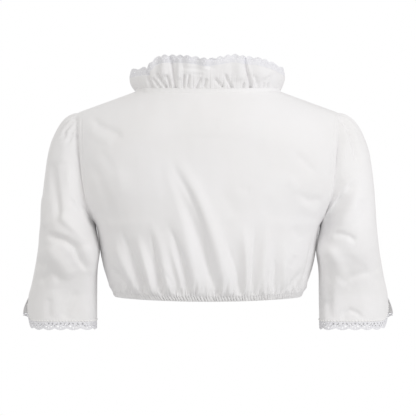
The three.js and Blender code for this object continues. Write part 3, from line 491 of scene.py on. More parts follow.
# creases of the back of each sleeve by (distance from the middle of the blouse, height)
sleeveCreases = {
    "left": [
        (-2.6, 3, [(192, -36), (202, -46), (211, -59), (214, -73)]),
        (-2.6, 3, [(191, -40), (198, -51), (204, -66), (208, -80)]),
        (-2.2, 3, [(190, -44), (193, -59), (195, -73)]),
        (-2.2, 3, [(194, -35), (208, -42), (218, -52), (225, -64)]),
        (1.8, 4, [(196, -42), (206, -56), (210, -73)]),
        (1.6, 4, [(192, -49), (200, -66)]),
        (1.4, 4, [(201, -40), (213, -51), (221, -66)]),
        (-4.4, 6, [(232, -102), (230, -124), (226, -148), (222, -172), (218, -196)]),
        (2.4, 7, [(244, -150), (243, -180), (240, -206)]),
        (2, 10, [(211, -66), (211, -90), (213, -110)]),
        (-7.5, 3.2, [(196, -46), (195.5, -62), (194.5, -84), (190, -105), (186, -126), (180, -153),
                     (175, -171)]),
        (3.5, 9, [(205, -103), (200, -134), (191, -158), (179, -181), (169, -212)]),
        (-2.5, 5, [(205, -158), (196, -171), (183, -181), (171, -192)]),
        (-9, 5.5, [(241, -212), (225, -217), (208, -222), (194, -232), (186, -249), (176, -268)]),
        (5, 11, [(238, -228), (226, -246), (210, -262), (200, -280)]),
        (4.6, 8, [(220, -181), (208, -192), (193, -209), (179, -226), (167, -243)]),
        (-2.8, 6.5, [(252, -285), (242, -278), (230, -271), (222, -275), (215, -285)]),
        (-1.6, 6, [(261, -260), (247, -256), (237, -260)]),
        (-2.2, 7, [(191, -294), (201, -311), (210, -328), (213, -338)]),
        (1.5, 9, [(230, -294), (223, -314), (222, -338)]),
        (-1.4, 5, [(233, -307), (235, -321), (233, -338)]),
        (-1.5, 8, [(172, -266), (171, -294), (176, -328)]),
    ],
    "right": [
        (-4.6, 3.6, [(195, -37), (202, -47), (208, -59), (215, -76), (219, -95), (223, -110)]),
        (2.4, 5, [(191, -42), (198, -54), (203, -69), (209, -86), (213, -100)]),
        (1.6, 6, [(198, -35), (210, -46), (219, -63), (224, -80)]),
        (3.6, 6, [(195, -49), (200, -66), (201, -83), (197, -103), (191, -120), (188, -137)]),
        (-5, 3.4, [(193, -54), (194, -76), (191, -97), (186, -120), (182, -141)]),
        (-1.2, 5, [(198, -127), (208, -122), (222, -119)]),
        (-6, 6, [(222, -134), (211, -146), (202, -159), (192, -175), (181, -193), (171, -212)]),
        (-8, 8, [(206, -152), (195, -170), (183, -190), (172, -212), (166, -228)]),
        (2.8, 11, [(226, -146), (215, -163), (202, -180), (188, -198)]),
        (-3.4, 4.4, [(180, -212), (194, -212), (207, -216), (219, -224)]),
        (2.8, 8, [(173, -226), (183, -243), (192, -256), (199, -275), (185, -290), (181, -314)]),
        (-5, 9, [(164, -232), (172, -256), (177, -280), (176, -304), (172, -332)]),
        (-2.4, 6, [(194, -287), (206, -277), (222, -271), (242, -268)]),
        (-2.2, 3.6, [(197, -339), (202, -329), (209, -325), (218, -328), (230, -338)]),
        (-2, 6, [(173, -307), (178, -328), (181, -339)]),
        (-1.4, 8, [(246, -232), (243, -253), (249, -273)]),
        (-1.4, 8, [(226, -158), (232, -181), (234, -205)]),
    ],
}
mirrorOf = {"left": 1, "right": -1}
hiddenCreases = [  # the front of both sleeves
    (-2, 5, [(196, -52), (214, -84), (220, -122)]),
    (-2, 6, [(188, -80), (200, -122), (214, -160)]),
    (-2.6, 6, [(176, -150), (192, -176), (214, -190), (238, -196)]),
    (-2.4, 4.6, [(172, -214), (190, -206), (214, -222)]),
    (-2, 5, [(178, -248), (206, -262), (236, -268)]),
    (1.8, 8, [(172, -280), (190, -300), (216, -306)]),
    (-1.4, 5, [(216, -300), (210, -338)]),
    (-1.4, 8, [(242, -150), (236, -190), (240, -230)]),
]
for creaseList in [*sleeveCreases.values(), hiddenCreases]:
    measureCreases(creaseList)

# pleats of the sleeve head: place round the armhole (front is negative), depth, half width, reach
capPleats = {
    "left": [
        (0.03, 1, 0.012, 0.4), (0.065, 1.1, 0.012, 0.4), (0.1, 1, 0.011, 0.4), (0.135, 1.1, 0.013, 0.4),
        (0.18, 0.9, 0.013, 0.35), (0.225, 0.8, 0.014, 0.3), (-0.03, 2.2, 0.012, 0.5),
        (-0.07, 2.4, 0.012, 0.6), (-0.115, 2.2, 0.013, 0.55), (-0.16, 2, 0.014, 0.45),
        (-0.21, 1.8, 0.014, 0.4),
    ],
    "right": [
        (0.035, 1, 0.014, 0.4), (0.09, 1.1, 0.015, 0.5), (0.15, 0.9, 0.014, 0.4), (0.2, 0.8, 0.014, 0.3),
        (-0.035, 2.2, 0.012, 0.5), (-0.08, 2.4, 0.012, 0.6), (-0.13, 2.2, 0.013, 0.5),
        (-0.18, 1.8, 0.014, 0.4),
    ],
}


# an edge that goes down the back panel and up the front one, with the way on from the cloth at each point;
# edge and inside are (column, drop) places on a panel
def seamLoop(edge, inside):
    back, front = ([(panelPoint(panel, *at), panelNormal(panel, *at), panelPoint(panel, *within))
                    for at, within in zip(edge, inside)] for panel in (backPanel, frontPanel))
    last = len(edge) - 1
    meet = [tuple((a + b) / 2 for a, b in zip(back[i], front[i])) for i in (0, last)]
    loop = [meet[0]] + back[1:last] + [meet[1]] + front[1:last][::-1]
    seam = []
    for i, (point, normal, within) in enumerate(loop):
        tangent = (loop[(i + 1) % len(loop)][0] - loop[i - 1][0]).normalized()
        runOn = tangent.cross(normal).normalized()
        if runOn.dot(point - within) < 0:
            runOn.negate()
        seam.append({"point": point, "normal": normal, "tangent": tangent, "runOn": runOn})
    return seam


# the armhole seam, from the shoulder tip down the back and up the front, with each point's place by length
def armholeLoop():
    steps = 70
    drops = [underarmDrop * (i / steps) ** 1.3 for i in range(steps + 1)]
    seam = seamLoop([(1, drop) for drop in drops], [(0.93, drop + 0.04) for drop in drops])
    for turn in (range(0, steps + 1), range(2 * steps, steps - 1, -1)):
        gone = 0
        order = [i % (2 * steps) for i in turn]
        lengths = [0]
        for a, b in zip(order, order[1:]):
            gone += (seam[a]["point"] - seam[b]["point"]).length
            lengths.append(gone)
        for i, length in zip(order, lengths):
            seam[i]["place"] = length / gone
    seam[0]["place"] = 0
    return seam, steps


armhole, armholeSteps = armholeLoop()
downBack = list(range(armholeSteps + 1))
downFront = [i % (2 * armholeSteps) for i in range(2 * armholeSteps, armholeSteps - 1, -1)]


# a place on the armhole seam by angle round it: 0 the shoulder tip, 180 the underarm, back first
def armholeAt(angle):
    share = angle / math.pi
    order, place = (downBack, share) if share <= 1 else (downFront, 2 - share)
    low, high = 0, armholeSteps
    while high - low > 1:
        middle = (low + high) // 2
        if armhole[order[middle]]["place"] <= place:
            low = middle
        else:
            high = middle
    a, b = armhole[order[low]], armhole[order[high]]
    t = clamp((place - a["place"]) / max(b["place"] - a["place"], 1e-9), 0, 1)
    return {key: a[key].lerp(b[key], t) for key in ("point", "normal", "runOn")} | {"place": place}


def signedTurn(angle):
    return angle - 2 * math.pi if angle > math.pi else angle


# creases and slack of the cloth at a place of the plain sleeve; back and front have their own
def sleeveRelief(side, x, angle, height):
    turned = signedTurn(angle)
    creases = sleeveCreases[side] if turned > 0 else hiddenCreases
    relief = creaseRelief(creases, x, height, 0.2) * smoothStep(0, 0.34, abs(math.sin(angle)))
    seed = 21 if side == "left" else 34
    arc = turned * 50
    slack = 0.9 * ripple(arc / 34, height / 52, seed) + 0.35 * ripple(arc / 14, height / 20, seed + 1)
    return relief + slack


def foldRelief(angle, height):
    turned = signedTurn(angle) / degree
    relief = 0
    for foldAngle, foldHeight, angleWidth, heightWidth, rise, depth in sleeveFolds:
        aside = (turned - foldAngle) / angleWidth
        relief += 0.35 * depth * bell(aside) * bell((height - foldHeight - rise * aside) / heightWidth)
    return relief


# the sleeve below its head without any crease; its back inner side is squarer where it hangs free
def plainTube(side, angle, height):
    innerX = sleeveAt["innerX"](height)
    outerX = sleeveAt["outerX"](height) + sleeveHang[side]["outer"] * smoothStep(-306, -288, height)
    halfWidth = (outerX - innerX) / 2
    corner = bell((signedTurn(angle) / degree - sleeveCut["squareAngle"]) / sleeveCut["squareWidth"])
    power = 2 + sleeveCut["squareness"] * corner * (1 - smoothStep(-262, -225, height))
    across, back = math.cos(angle), math.sin(angle)
    fuller = (abs(across) ** power + abs(back) ** power) ** (-1 / power)
    return Vector((innerX + halfWidth + halfWidth * fuller * across,
                   sleeveAt["backwards"](height) + sleeveAt["halfDepth"](height) * fuller * back, height))


def tubeRelief(side, x, angle, height):
    tight = abs(signedTurn(angle)) / math.pi + 0.15 * smoothStep(-250, -200, height)
    return (sleeveRelief(side, x, angle, height) + foldRelief(angle, height)) * smoothStep(1.1, 0.84, tight)


def tubePoint(side, angle, height):
    plain = plainTube(side, angle, height)
    turned = signedTurn(angle)
    below = clamp((sleeveCut["slitTop"] - height) / (sleeveCut["slitTop"] - sleeveCut["cuff"]), 0, 1)
    flare = sleeveCut["slitFlare"] * below * bell(turned / sleeveCut["flareReach"]) if turned <= 0 else 0
    out = tubeRelief(side, plain.x, angle, height)
    return plain + Vector(((out + flare) * math.cos(angle), out * math.sin(angle), 0))


# both corners of the slit are rounded, the back one more
def cornerShare(angle):
    return bell((abs(signedTurn(angle)) - sleeveCut["slitHalfAngle"]) / sleeveCut["cornerReach"])


def cuffEdge(angle):
    return sleeveCut["cuff"] + sleeveCut["cornerRise"][0 if signedTurn(angle) > 0 else 1] * cornerShare(angle)


def ringHeight(angle):
    return sleeveCut["ringHeight"] + sleeveCut["ringTilt"] * math.cos(angle)


def pleatRelief(side, angle, share):
    place = signedTurn(angle) / math.pi
    relief = 0
    for centre, depth, width, reach in capPleats[side]:
        spread = width * (1 + 2.2 * share)
        fade = smoothStep(0, 0.05, share) * (1 - smoothStep(0.3 * reach, reach, share))
        away = place - centre
        relief += depth * fade * (bell(away / spread) - 0.8 * bell((away - 1.35 * spread) / spread))
    return relief


def capPoint(side, angle, share):
    seat = armholeAt(angle)
    ring = plainTube(side, angle, ringHeight(angle))
    under = plainTube(side, angle, ringHeight(angle) - 4)
    falling = (under - ring).normalized() * startAt["fall"](seat["place"])
    start = seat["point"] + seat["runOn"] * sleeveCut["tuck"] - seat["normal"] * sleeveCut["under"]
    leaving = seat["runOn"] * startAt["along"](seat["place"])
    hang = 1 - smoothStep(0.08, 0.45, seat["place"])
    leaving.x += startAt["outward"](seat["place"]) + sleeveHang[side]["outward"] * hang
    leaving.z += startAt["upward"](seat["place"]) + sleeveHang[side]["upward"] * hang
    rest = 1 - share
    point = (start * ((1 + 2 * share) * rest * rest) + leaving * (share * rest * rest)
             + ring * (share * share * (3 - 2 * share)) - falling * (share * share * rest))
    swell = seat["normal"].lerp(Vector((math.cos(angle), math.sin(angle), 0)), share).normalized()
    soft = sleeveRelief(side, point.x, angle, point.z)
    soft = soft * smoothStep(0, 0.05, share) * smoothStep(1, 0.8, seat["place"])
    soft = mix(soft, tubeRelief(side, point.x, angle, point.z), smoothStep(0.5, 1, share))
    return point + swell * (pleatRelief(side, angle, share) + soft)


def sleevePiece(side):
    mirror = mirrorOf[side]
    rows = sleeveCut["capRows"] + sleeveCut["tubeRows"] + sleeveCut["slitRows"]

    def place(u, v):
        row = v * rows
        angle = u * 2 * math.pi
        if row <= sleeveCut["capRows"]:
            point = capPoint(side, angle, row / sleeveCut["capRows"])
        elif row <= sleeveCut["capRows"] + sleeveCut["tubeRows"]:
            share = (row - sleeveCut["capRows"]) / sleeveCut["tubeRows"]
            point = tubePoint(side, angle, mix(ringHeight(angle), sleeveCut["slitTop"], share))
        else:
            share = (row - sleeveCut["capRows"] - sleeveCut["tubeRows"]) / sleeveCut["slitRows"]
            half = sleeveCut["slitHalfAngle"] * share
            angle = mix(half, 2 * math.pi - half, u)
            point = tubePoint(side, angle, mix(sleeveCut["slitTop"], cuffEdge(angle), share))
        return Vector((mirror * point.x, point.y, point.z))

    def outward(point):
        across = abs(point.x) - 216
        return Vector((mirror * across, point.y, 0)) if point.z < -200 else Vector((mirror, 0, 0.4))

    piece = clothPiece(f"{side}SleeveCloth", sleeveCut["columns"], rows, place, sleeveCut["flat"], outward,
                       closed=True)
    return worn(piece, f"sleeve_{side}")


sleeveCloth = {side: sleevePiece(side) for side in mirrorOf}
print("sleeves made")

# neckline, from the left neck point round the back and on round the front
neck = {
    "seamSteps": 16, "bandHeight": 8, "bandThickness": 1.8, "middle": Vector((0, -25, 0)), "seamGap": -0.3,
    "turn": 0.8, "columns": 420,
}


def awayFromNeck(point):
    out = point - neck["middle"]
    out.z = 0
    return out


def neckLoop():
    steps = neck["seamSteps"]
    columns = [mix(neckColumn, -neckColumn, i / steps) for i in range(steps + 1)]
    line = []
    for at in seamLoop([(column, 0) for column in columns], [(column * 1.15, 0.04) for column in columns]):
        tangent, runOn = at["tangent"], at["runOn"]
        outwards = awayFromNeck(at["point"]).normalized()
        rising = Vector((0, 0, 1)) + outwards * 0.12
        rising = (rising - tangent * rising.dot(tangent)).normalized()
        facing = tangent.cross(rising).normalized()
        if facing.dot(outwards) < 0:
            facing.negate()
        line.append({
            "foot": at["point"] - at["normal"] * blouse["clothThickness"] / 2 + runOn * neck["seamGap"],
            "runOn": runOn, "rising": rising, "facing": facing,
            "angle": Vector((math.acos(clamp(outwards.y, -1, 1)) / degree, 0, 0)),
        })
    return line


neckLine = neckLoop()


# a place on the neckline, round it from 0 to 1, on a smooth curve through its points
def neckAt(round_):
    count = len(neckLine)
    at = (round_ % 1) * count
    low = int(at)
    t = at - low
    around = [neckLine[(low + k) % count] for k in (-1, 0, 1, 2)]
    weights = (-0.5 * t + t * t - 0.5 * t ** 3, 1 - 2.5 * t * t + 1.5 * t ** 3,
               0.5 * t + 2 * t * t - 1.5 * t ** 3, -0.5 * t * t + 0.5 * t ** 3)
    blend = {key: sum((a[key] * w for a, w in zip(around, weights)), Vector()) for key in around[0]}
    foot, rising, facing = blend["foot"], blend["rising"].normalized(), blend["facing"].normalized()
    foot -= rising * 1.8 * bell((abs(foot.x) - 109) / 9)  # sits down on the shoulder beside the neck
    return foot, rising, facing, 180 - blend["angle"].x, blend["runOn"].normalized()


# a point of the binding's middle: it leaves the panel along its slope and turns upwards
def bandMiddle(foot, rising, runOn, up):
    turned = neck["turn"] * (up - up * up / 2)
    return foot + (runOn * turned + rising * (up - turned)) * neck["bandHeight"]


# the binding: a folded strip with softly rounded edges
def neckBandPiece():
    section = [(-0.44, 0), (0.3, 0), (0.5, -0.1), (0.66, -0.04), (0.76, 0.16), (0.84, 0.4), (0.84, 0.64),
               (0.74, 0.84), (0.5, 0.96), (0.1, 1), (-0.4, 0.98), (-0.8, 0.84), (-0.9, 0.5), (-0.7, 0.16)]

    def place(round_, across, up):
        foot, rising, facing, angle, runOn = neckAt(round_)
        puff = 0.25 * ripple(round_ * 190, up, 5) * smoothStep(0, 0.3, up)
        along = (runOn * neck["turn"] * (1 - up) + rising * (1 - neck["turn"] * (1 - up))).normalized()
        out = (facing - along * facing.dot(along)).normalized()
        return bandMiddle(foot, rising, runOn, up) + out * (across * neck["bandThickness"] / 2 + puff)

    return worn(ringPiece("neckBinding", neck["columns"], section, (0.285, 0.01), 50, place), "neck_band")


neckBinding = neckBandPiece()

# the frill: gathers at its foot that run together into broad flutes at its edge, by the angle from the
# front; the two sides of the back stand differently
frill = {
    "left": {
        "angle": [0, 60, 85, 100, 112, 122, 130, 140, 160, 180],
        "clothHeight": [20, 20, 18, 17, 18, 21, 30, 33, 33, 31],
        "lean": [0.35, 0.3, 0.04, 0, -0.06, -0.06, -0.02, 0, 0.04, 0.08],
        "bulge": [1, 3, 6, 7, 6, 5, 4, 3, 2, 2],
    },
    "right": {
        "angle": [0, 60, 85, 100, 112, 122, 130, 140, 160, 180],
        "clothHeight": [20, 20, 16, 15, 20, 25, 29, 32, 34, 31],
        "lean": [0.35, 0.32, 0.26, 0.2, 0.08, 0.02, 0, 0, 0.04, 0.08],
        "bulge": [1, 3, 3.4, 4, 5, 5, 4, 4, 3, 2],
    },
}
frillCut = {
    "gathers": 74, "flutes": 17, "laceWidth": 12, "columns": 1180, "rows": 26, "gap": 0.04,
    "gatherDepth": 1.7, "fluteDepth": 3.9, "foldStrength": 1.3, "laceLean": 0.4,
    "flat": (0.80, 0.028),
}
frillRise = {  # how much higher the back's edge stands, by place across
    "x": [-112, -104, -96, -78, -58, -40, -20, -5, 12, 35, 61, 76, 82, 88, 95, 108, 118],
    "rise": [1, 0, 1, 2.4, 2.6, 4.4, 2.2, 1.6, 2, 4, 4.2, 1.4, -4, -6.6, -2, -0.2, 0],
}
frillRiseAt = curvesAlong(frillRise, "x")["rise"]
frillAt = {side: curvesAlong(table, "angle") for side, table in frill.items()}
# folds of the back of the frill: depth, half width, and a path of (x, height over the binding) points
frillFolds = [
    (-3.6, 2.4, [(84, 0), (87, 14), (88, 24)]),
    (-3.4, 2.4, [(62, 0), (70, 12), (76, 24)]),
    (-2.8, 2, [(72, 0), (78, 9), (82, 15)]),
    (-3.6, 2.2, [(49, -6), (50, 18), (53, 32), (57, 54)]),
    (-2.6, 2, [(56, 0), (59, 12), (62, 20)]),
    (-3.2, 2.2, [(37, 0), (35, 22)]),
    (-2.8, 2.2, [(31, 2), (27, 21)]),
    (-2.8, 2.2, [(19, 0), (14, 8), (10, 16)]),
    (-3, 2.8, [(7, 2), (2, 15)]),
    (-3.4, 2.4, [(-22, 2), (-14, 9), (-10, 16)]),
    (-3.4, 2.2, [(-36, 0), (-30, 10), (-24, 22)]),
    (-2.8, 1.8, [(-52, 0), (-53, 8)]),
    (-4.6, 1.9, [(-66, -8), (-62, 10), (-58, 22), (-55, 34), (-54, 60)]),
    (-2, 2.2, [(-76, 0), (-71, 10), (-66, 20)]),
    (-2, 1.8, [(-84, 0), (-82, 8)]),
    (-2, 1.8, [(-90, 0), (-88, 8)]),
    (4, 12, [(-70, 44), (-74, 26), (-84, 12)]),
    (3, 8, [(-40, 46), (-44, 26), (-46, 10)]),
    (-0.9, 3, [(38, 31), (20, 29), (0, 27)]),
    (-0.6, 1.8, [(34, 22), (18, 20.5), (6, 21)]),
    (3, 6, [(66, 46), (66, 30), (64, 16)]),
    (2.4, 4, [(42, 44), (42, 28), (42, 12)]),
    (-3, 6, [(-4, 44), (-2, 28)]),
]
measureCreases(frillFolds)


def frillTable(foot, angle):
    blend = smoothStep(-12, 12, foot.x)
    shape = {key: mix(frillAt["right"][key](angle), frillAt["left"][key](angle), blend)
             for key in ("clothHeight", "lean", "bulge")}
    shape["clothHeight"] += frillRiseAt(foot.x) * smoothStep(84, 104, angle)
    return shape


def frillWave(round_, share, footX, height, backShare):
    turn = 2 * math.pi * round_
    count = round_ * frillCut["gathers"] + 0.32 * ripple(round_ * 22, 0, 11)
    uneven = 0.75 + 0.9 * ripple(count * 0.83, 0, 12)  # some gathers bite deeper than others
    reach = mix(0.35, 0.75, clamp(uneven, 0, 1))
    groove = 0.3 - bell(math.sin(math.pi * count) / 0.42)
    gathers = (frillCut["gatherDepth"] * clamp(uneven, 0.25, 1.3) * groove
               * (1 - smoothStep(0.05, reach, share)))
    fine = 0.25 * (1 - share) ** 2 * ripple(round_ * 150, share * 2, 13)
    flutes = (math.sin(turn * frillCut["flutes"] + 0.8)
              + 0.55 * math.sin(turn * (frillCut["flutes"] - 6) + 2.1)
              + 0.35 * math.sin(turn * (frillCut["flutes"] + 7) + 4))
    calm = mix(1, 0.7 - 0.4 * smoothStep(-76, -88, footX), backShare)
    wave = gathers * calm + fine + frillCut["fluteDepth"] * share ** 1.3 * flutes * mix(1, 0.5, backShare)
    if backShare > 0:
        wave += frillCut["foldStrength"] * backShare * creaseRelief(frillFolds, footX, height, 0.04)
    return wave


def frillPoint(round_, height):
    foot, rising, facing, angle, runOn = neckAt(round_)
    shape = frillTable(foot, angle)
    share = height / (shape["clothHeight"] + frillCut["laceWidth"])
    lean = shape["lean"] * height + shape["bulge"] * math.sin(math.pi * clamp(share, 0, 1))
    backShare = smoothStep(93, 116, angle)
    # the lace of the left half of the back turns outwards
    onLace = max(height - shape["clothHeight"], 0)
    lean += frillCut["laceLean"] * backShare * smoothStep(-14, 4, foot.x) * onLace
    wave = frillWave(round_, share, foot.x, height, backShare)
    return (bandMiddle(foot, rising, runOn, 1) + rising * (frillCut["gap"] + height)
            + facing * (blouse["clothThickness"] / 2 + lean + wave))


def frillPiece():
    def place(u, v):
        foot, rising, facing, angle, runOn = neckAt(u)
        return frillPoint(u, frillTable(foot, angle)["clothHeight"] * (1 - v))

    piece = clothPiece("frillCloth", frillCut["columns"], frillCut["rows"], place, frillCut["flat"],
                       awayFromNeck, closed=True)
    return worn(piece, "collar_frill")


frillCloth = frillPiece()
print("neckline made")

# lace: a scalloped edging with cut holes, worked in one strip of repeats
lace = {
    "scallopDepth": 2.8, "cellsAcross": 24, "cellsDown": 16, "thickness": 0.7,
    # holes of one repeat: place along the scallop (-0.5 to 0.5), fall from the seam, radius
    "cuffHoles": [(-0.34, 2.8, 1.55), (0, 2.4, 1.4), (0.34, 2.8, 1.55), (-0.22, 6.6, 1.5), (0.22, 6.6, 1.5),
                  (0, 9, 1.1), (0, 5.6, 0.8), (-0.5, 6, 1.2), (0.5, 6, 1.2)],
    "collarHoles": [(-0.3, 3.2, 0.55), (0, 3.2, 0.55), (0.3, 3.2, 0.55), (-0.2, 6.6, 0.8), (0.2, 6.6, 0.8),
                    (0, 9.2, 0.7), (-0.5, 6, 0.6), (0.5, 6, 0.6)],
}


def laceEdge(along):
    arch = frillCut["laceWidth"] - lace["scallopDepth"] * (1 - abs(math.cos(math.pi * along)))
    return arch + 0.45 * abs(math.sin(math.pi * along * 5))  # small picots round the scallop


def lacePiece(name, node, repeats, pitch, holes, place, outward, closed):
    bm = bmesh.new()
    uvLayer = bm.loops.layers.uv.new("weave")
    columns = repeats * lace["cellsAcross"]
    bmesh.ops.create_grid(bm, x_segments=columns, y_segments=lace["cellsDown"], size=1)

    def local(co):
        along = (co.x + 1) / 2 * repeats
        return along, (along % 1) - 0.5, (1 - co.y) / 2

    spots = {}
    for vert in bm.verts:
        along, inside, v = local(vert.co)
        fall = v * laceEdge(inside)
        x = inside * pitch
        for holeAt, holeFall, radius in holes:
            dx, dy = x - holeAt * pitch, fall - holeFall
            away = math.hypot(dx, dy)
            if abs(away - radius) < 0.36 and away > 0:  # pulls the net's points onto the hole's rim
                fall = holeFall + dy * radius / away
                along += (dx * radius / away - dx) / pitch
                break
        spots[vert] = (along, fall)
    cut = []
    for face in bm.faces:
        middleAlong = sum(spots[v][0] for v in face.verts) / 4
        middleFall = sum(spots[v][1] for v in face.verts) / 4
        nearest = middleAlong - math.floor(middleAlong) - 0.5
        for holeAt, holeFall, radius in holes:
            if math.hypot((nearest - holeAt) * pitch, middleFall - holeFall) < radius - 0.12:
                cut.append(face)
                break
    for face in bm.faces:
        face.smooth = True
        for loop in face.loops:
            along, fall = spots[loop.vert]
            loop[uvLayer].uv = (along * pitch * mm, fall * mm)
    for vert, (along, fall) in spots.items():
        vert.co = place(along / repeats, fall) * mm
    bmesh.ops.delete(bm, geom=cut, context="FACES")
    if closed:
        bmesh.ops.remove_doubles(bm, verts=bm.verts, dist=1e-6)
    return worn(finishCloth(bm, name, outward, lace["thickness"]), node)


def collarLacePoint(round_, fall):
    foot, rising, facing, angle, runOn = neckAt(round_)
    return frillPoint(round_, frillTable(foot, angle)["clothHeight"] + 0.15 + fall)


collarLace = lacePiece("collarLace", "collar_lace", 40, 16.5, lace["collarHoles"], collarLacePoint,
                       awayFromNeck, closed=True)


def cuffLace(side):
    mirror = mirrorOf[side]
    half = sleeveCut["slitHalfAngle"]

    def place(round_, fall):
        angle = mix(half, 2 * math.pi - half, clamp(round_, 0, 1))
        edge = tubePoint(side, angle, cuffEdge(angle))
        return Vector((mirror * edge.x, edge.y, edge.z - 0.05 - fall * (1 - 0.55 * cornerShare(angle))))

    def outward(point):
        return Vector((mirror * (abs(point.x) - 218), point.y, 0))

    return lacePiece(f"{side}CuffLace", f"cuff_lace_{side}", 18, 17, lace["cuffHoles"], place, outward,
                     closed=False)


cuffLaces = {side: cuffLace(side) for side in mirrorOf}
print("lace made")

# the elastic casing, ruched all round
def casingPiece():
    section = [(-1, 0.12), (-1, 0.5), (-1, 0.88), (-0.6, 1), (0.3, 1.01), (0.8, 1.02), (1, 1.02),
               (1.02, 0.88), (1.06, 0.7), (1.1, 0.54), (1.1, 0.38), (1.04, 0.22), (0.92, 0.08), (0.7, 0),
               (0.2, -0.02), (-0.6, 0)]

    def place(round_, across, up):
        round_ %= 1
        panel = backPanel if round_ <= 0.5 else frontPanel
        column = mix(-1, 1, round_ * 2) if round_ <= 0.5 else mix(1, -1, round_ * 2 - 1)
        angle = column * 90 * degree
        height = hemHeight(angle) + up * casing["height"]
        edgeX, depth = bodyAt[panel["name"] + "X"](height), bodyAt[panel["name"] + "Depth"](height)
        outwards = Vector((math.sin(angle) * depth, panel["facing"] * math.cos(angle) * edgeX, 0))
        outwards.normalize()
        roundCos = max(math.cos(angle), 0) ** panel["squareness"]
        middle = Vector((math.sin(angle) * edgeX, panel["facing"] * roundCos * depth, height))
        inner = blouse["clothThickness"] + casing["seamEase"] - casing["thickness"]
        out = mix(inner, casing["seamEase"], (across + 1) / 2)
        ruch = hemRuche(round_, up)
        if across > 0:
            out += ruch * across
        return middle + outwards * out + Vector((0, 0, min(0.3 * ruch, 0) * (-1 if up < 0.5 else 0)))

    columns = casing["ruches"] * casing["columnsPerRuche"]
    return worn(ringPiece("hemCasing", columns, section, (0.37, 0.01), 75, place), "hem_elastic_casing")


hemCasing = casingPiece()
print("elastic casing made")

# machine stitches: short threads laid on the cloth
stitch = {"length": 2.3, "pitch": 3.0, "width": 0.32, "rise": 0.1}
stitchRows = {"besideArmhole": (0.018, 0.042), "belowShoulder": 0.012, "overNeckSeam": 1.1, "overCuff": 1.2}
picot = {"length": 2.6, "pitch": 4.6, "width": 2.4, "rise": 0.1}  # thick threads where the lace is sewn on


def addStitchRow(bm, points, normals, kind=stitch):
    gone = 0
    nextAt = kind["pitch"] / 2
    for i in range(len(points) - 1):
        a, b = points[i], points[i + 1]
        span = (b - a).length
        while span > 0 and nextAt <= gone + span:
            t = (nextAt - gone) / span
            centre, along = a.lerp(b, t), (b - a).normalized()
            up = normals[i].lerp(normals[i + 1], t).normalized()
            across = up.cross(along).normalized()
            up = along.cross(across)
            axes = Matrix((along * kind["length"] / 2, across * kind["width"] / 2, up * kind["width"] / 2))
            turn = axes.transposed().to_4x4()
            turn.translation = centre + up * kind["rise"]
            bmesh.ops.create_icosphere(bm, subdivisions=1, radius=1, matrix=Matrix.Scale(mm, 4) @ turn)
            nextAt += kind["pitch"]
        gone += span


def panelSeamRow(bm, panel, places):
    points = [panelPoint(panel, column, drop) for column, drop in places]
    normals = [panelNormal(panel, column, drop) for column, drop in places]
    addStitchRow(bm, points, normals)


def stitchPiece():
    bm = bmesh.new()
    for panel in (backPanel, frontPanel):
        for side in (-1, 1):
            for inset in stitchRows["besideArmhole"]:
                places = [(side * (1 - inset), underarmDrop * i / 90) for i in range(1, 91)]
                panelSeamRow(bm, panel, places)
            if panel is backPanel:
                columns = [mix(neckColumn, 0.99, i / 30) for i in range(31)]
                panelSeamRow(bm, panel, [(side * column, stitchRows["belowShoulder"]) for column in columns])
    rows = [neckAt(i / 300) for i in range(301)]
    up = stitchRows["overNeckSeam"] / neck["bandHeight"]
    points = [bandMiddle(foot, rising, runOn, up) + facing * (neck["bandThickness"] / 2)
              for foot, rising, facing, angle, runOn in rows]
    addStitchRow(bm, points, [row[2] for row in rows])
    for side, mirror in mirrorOf.items():  # where each cuff and its lace meet
        angles = [mix(0.08, 2 * math.pi - 0.08, i / 300) for i in range(301)]
        edges = [tubePoint(side, angle, cuffEdge(angle)) for angle in angles]
        points = [Vector((mirror * edge.x, edge.y, edge.z + stitchRows["overCuff"])) for edge in edges]
        normals = [Vector((mirror * math.cos(angle), math.sin(angle), 0)) for angle in angles]
        addStitchRow(bm, points, normals, picot)
    for face in bm.faces:
        face.smooth = True
    piece = addObject(bm, "seamStitches")
    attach(piece, "root")
    return piece


seamStitches = stitchPiece()
print("stitches made")


# finishes: threads of the weave (pitch, strength, depth), slack of the cloth (scale, strength), and
# mottling between two tones
finishes = {
    "whiteCotton": {
        "base": (0.8, 0.79, 0.78), "roughness": 0.85, "sheen": 0.08, "weave": (0.0008, 0.25, 0.0001),
        "slack": (55, 0.35), "tones": ((0.885, 0.878, 0.876), (0.905, 0.9, 0.905)), "toneScale": 9,
    },
    "whiteLace": {
        "base": (0.8, 0.8, 0.83), "roughness": 0.9, "sheen": 0.1, "weave": (0.0011, 0.4, 0.0003),
        "slack": (700, 0.12), "tones": ((0.87, 0.87, 0.905), (0.92, 0.92, 0.945)), "toneScale": 300,
    },
    "whiteThread": {
        "base": (0.88, 0.88, 0.87), "roughness": 0.7, "sheen": 0.2, "weave": None,
        "tones": ((0.92, 0.92, 0.9), (0.96, 0.96, 0.94)), "toneScale": 500,
    },
    "paleFloor": {"base": (0.72, 0.72, 0.72), "roughness": 0.9, "sheen": 0, "weave": None, "tones": None},
}


# a node with its settings, and its inputs as numbers or as links from other nodes
def addNode(tree, kind, inputs, **settings):
    node = tree.nodes.new("ShaderNode" + kind)
    for name, value in settings.items():
        setattr(node, name, value)
    for name, value in inputs.items():
        if isinstance(value, bpy.types.NodeSocket):
            tree.links.new(value, node.inputs[name])
        else:
            node.inputs[name].default_value = value
    return node


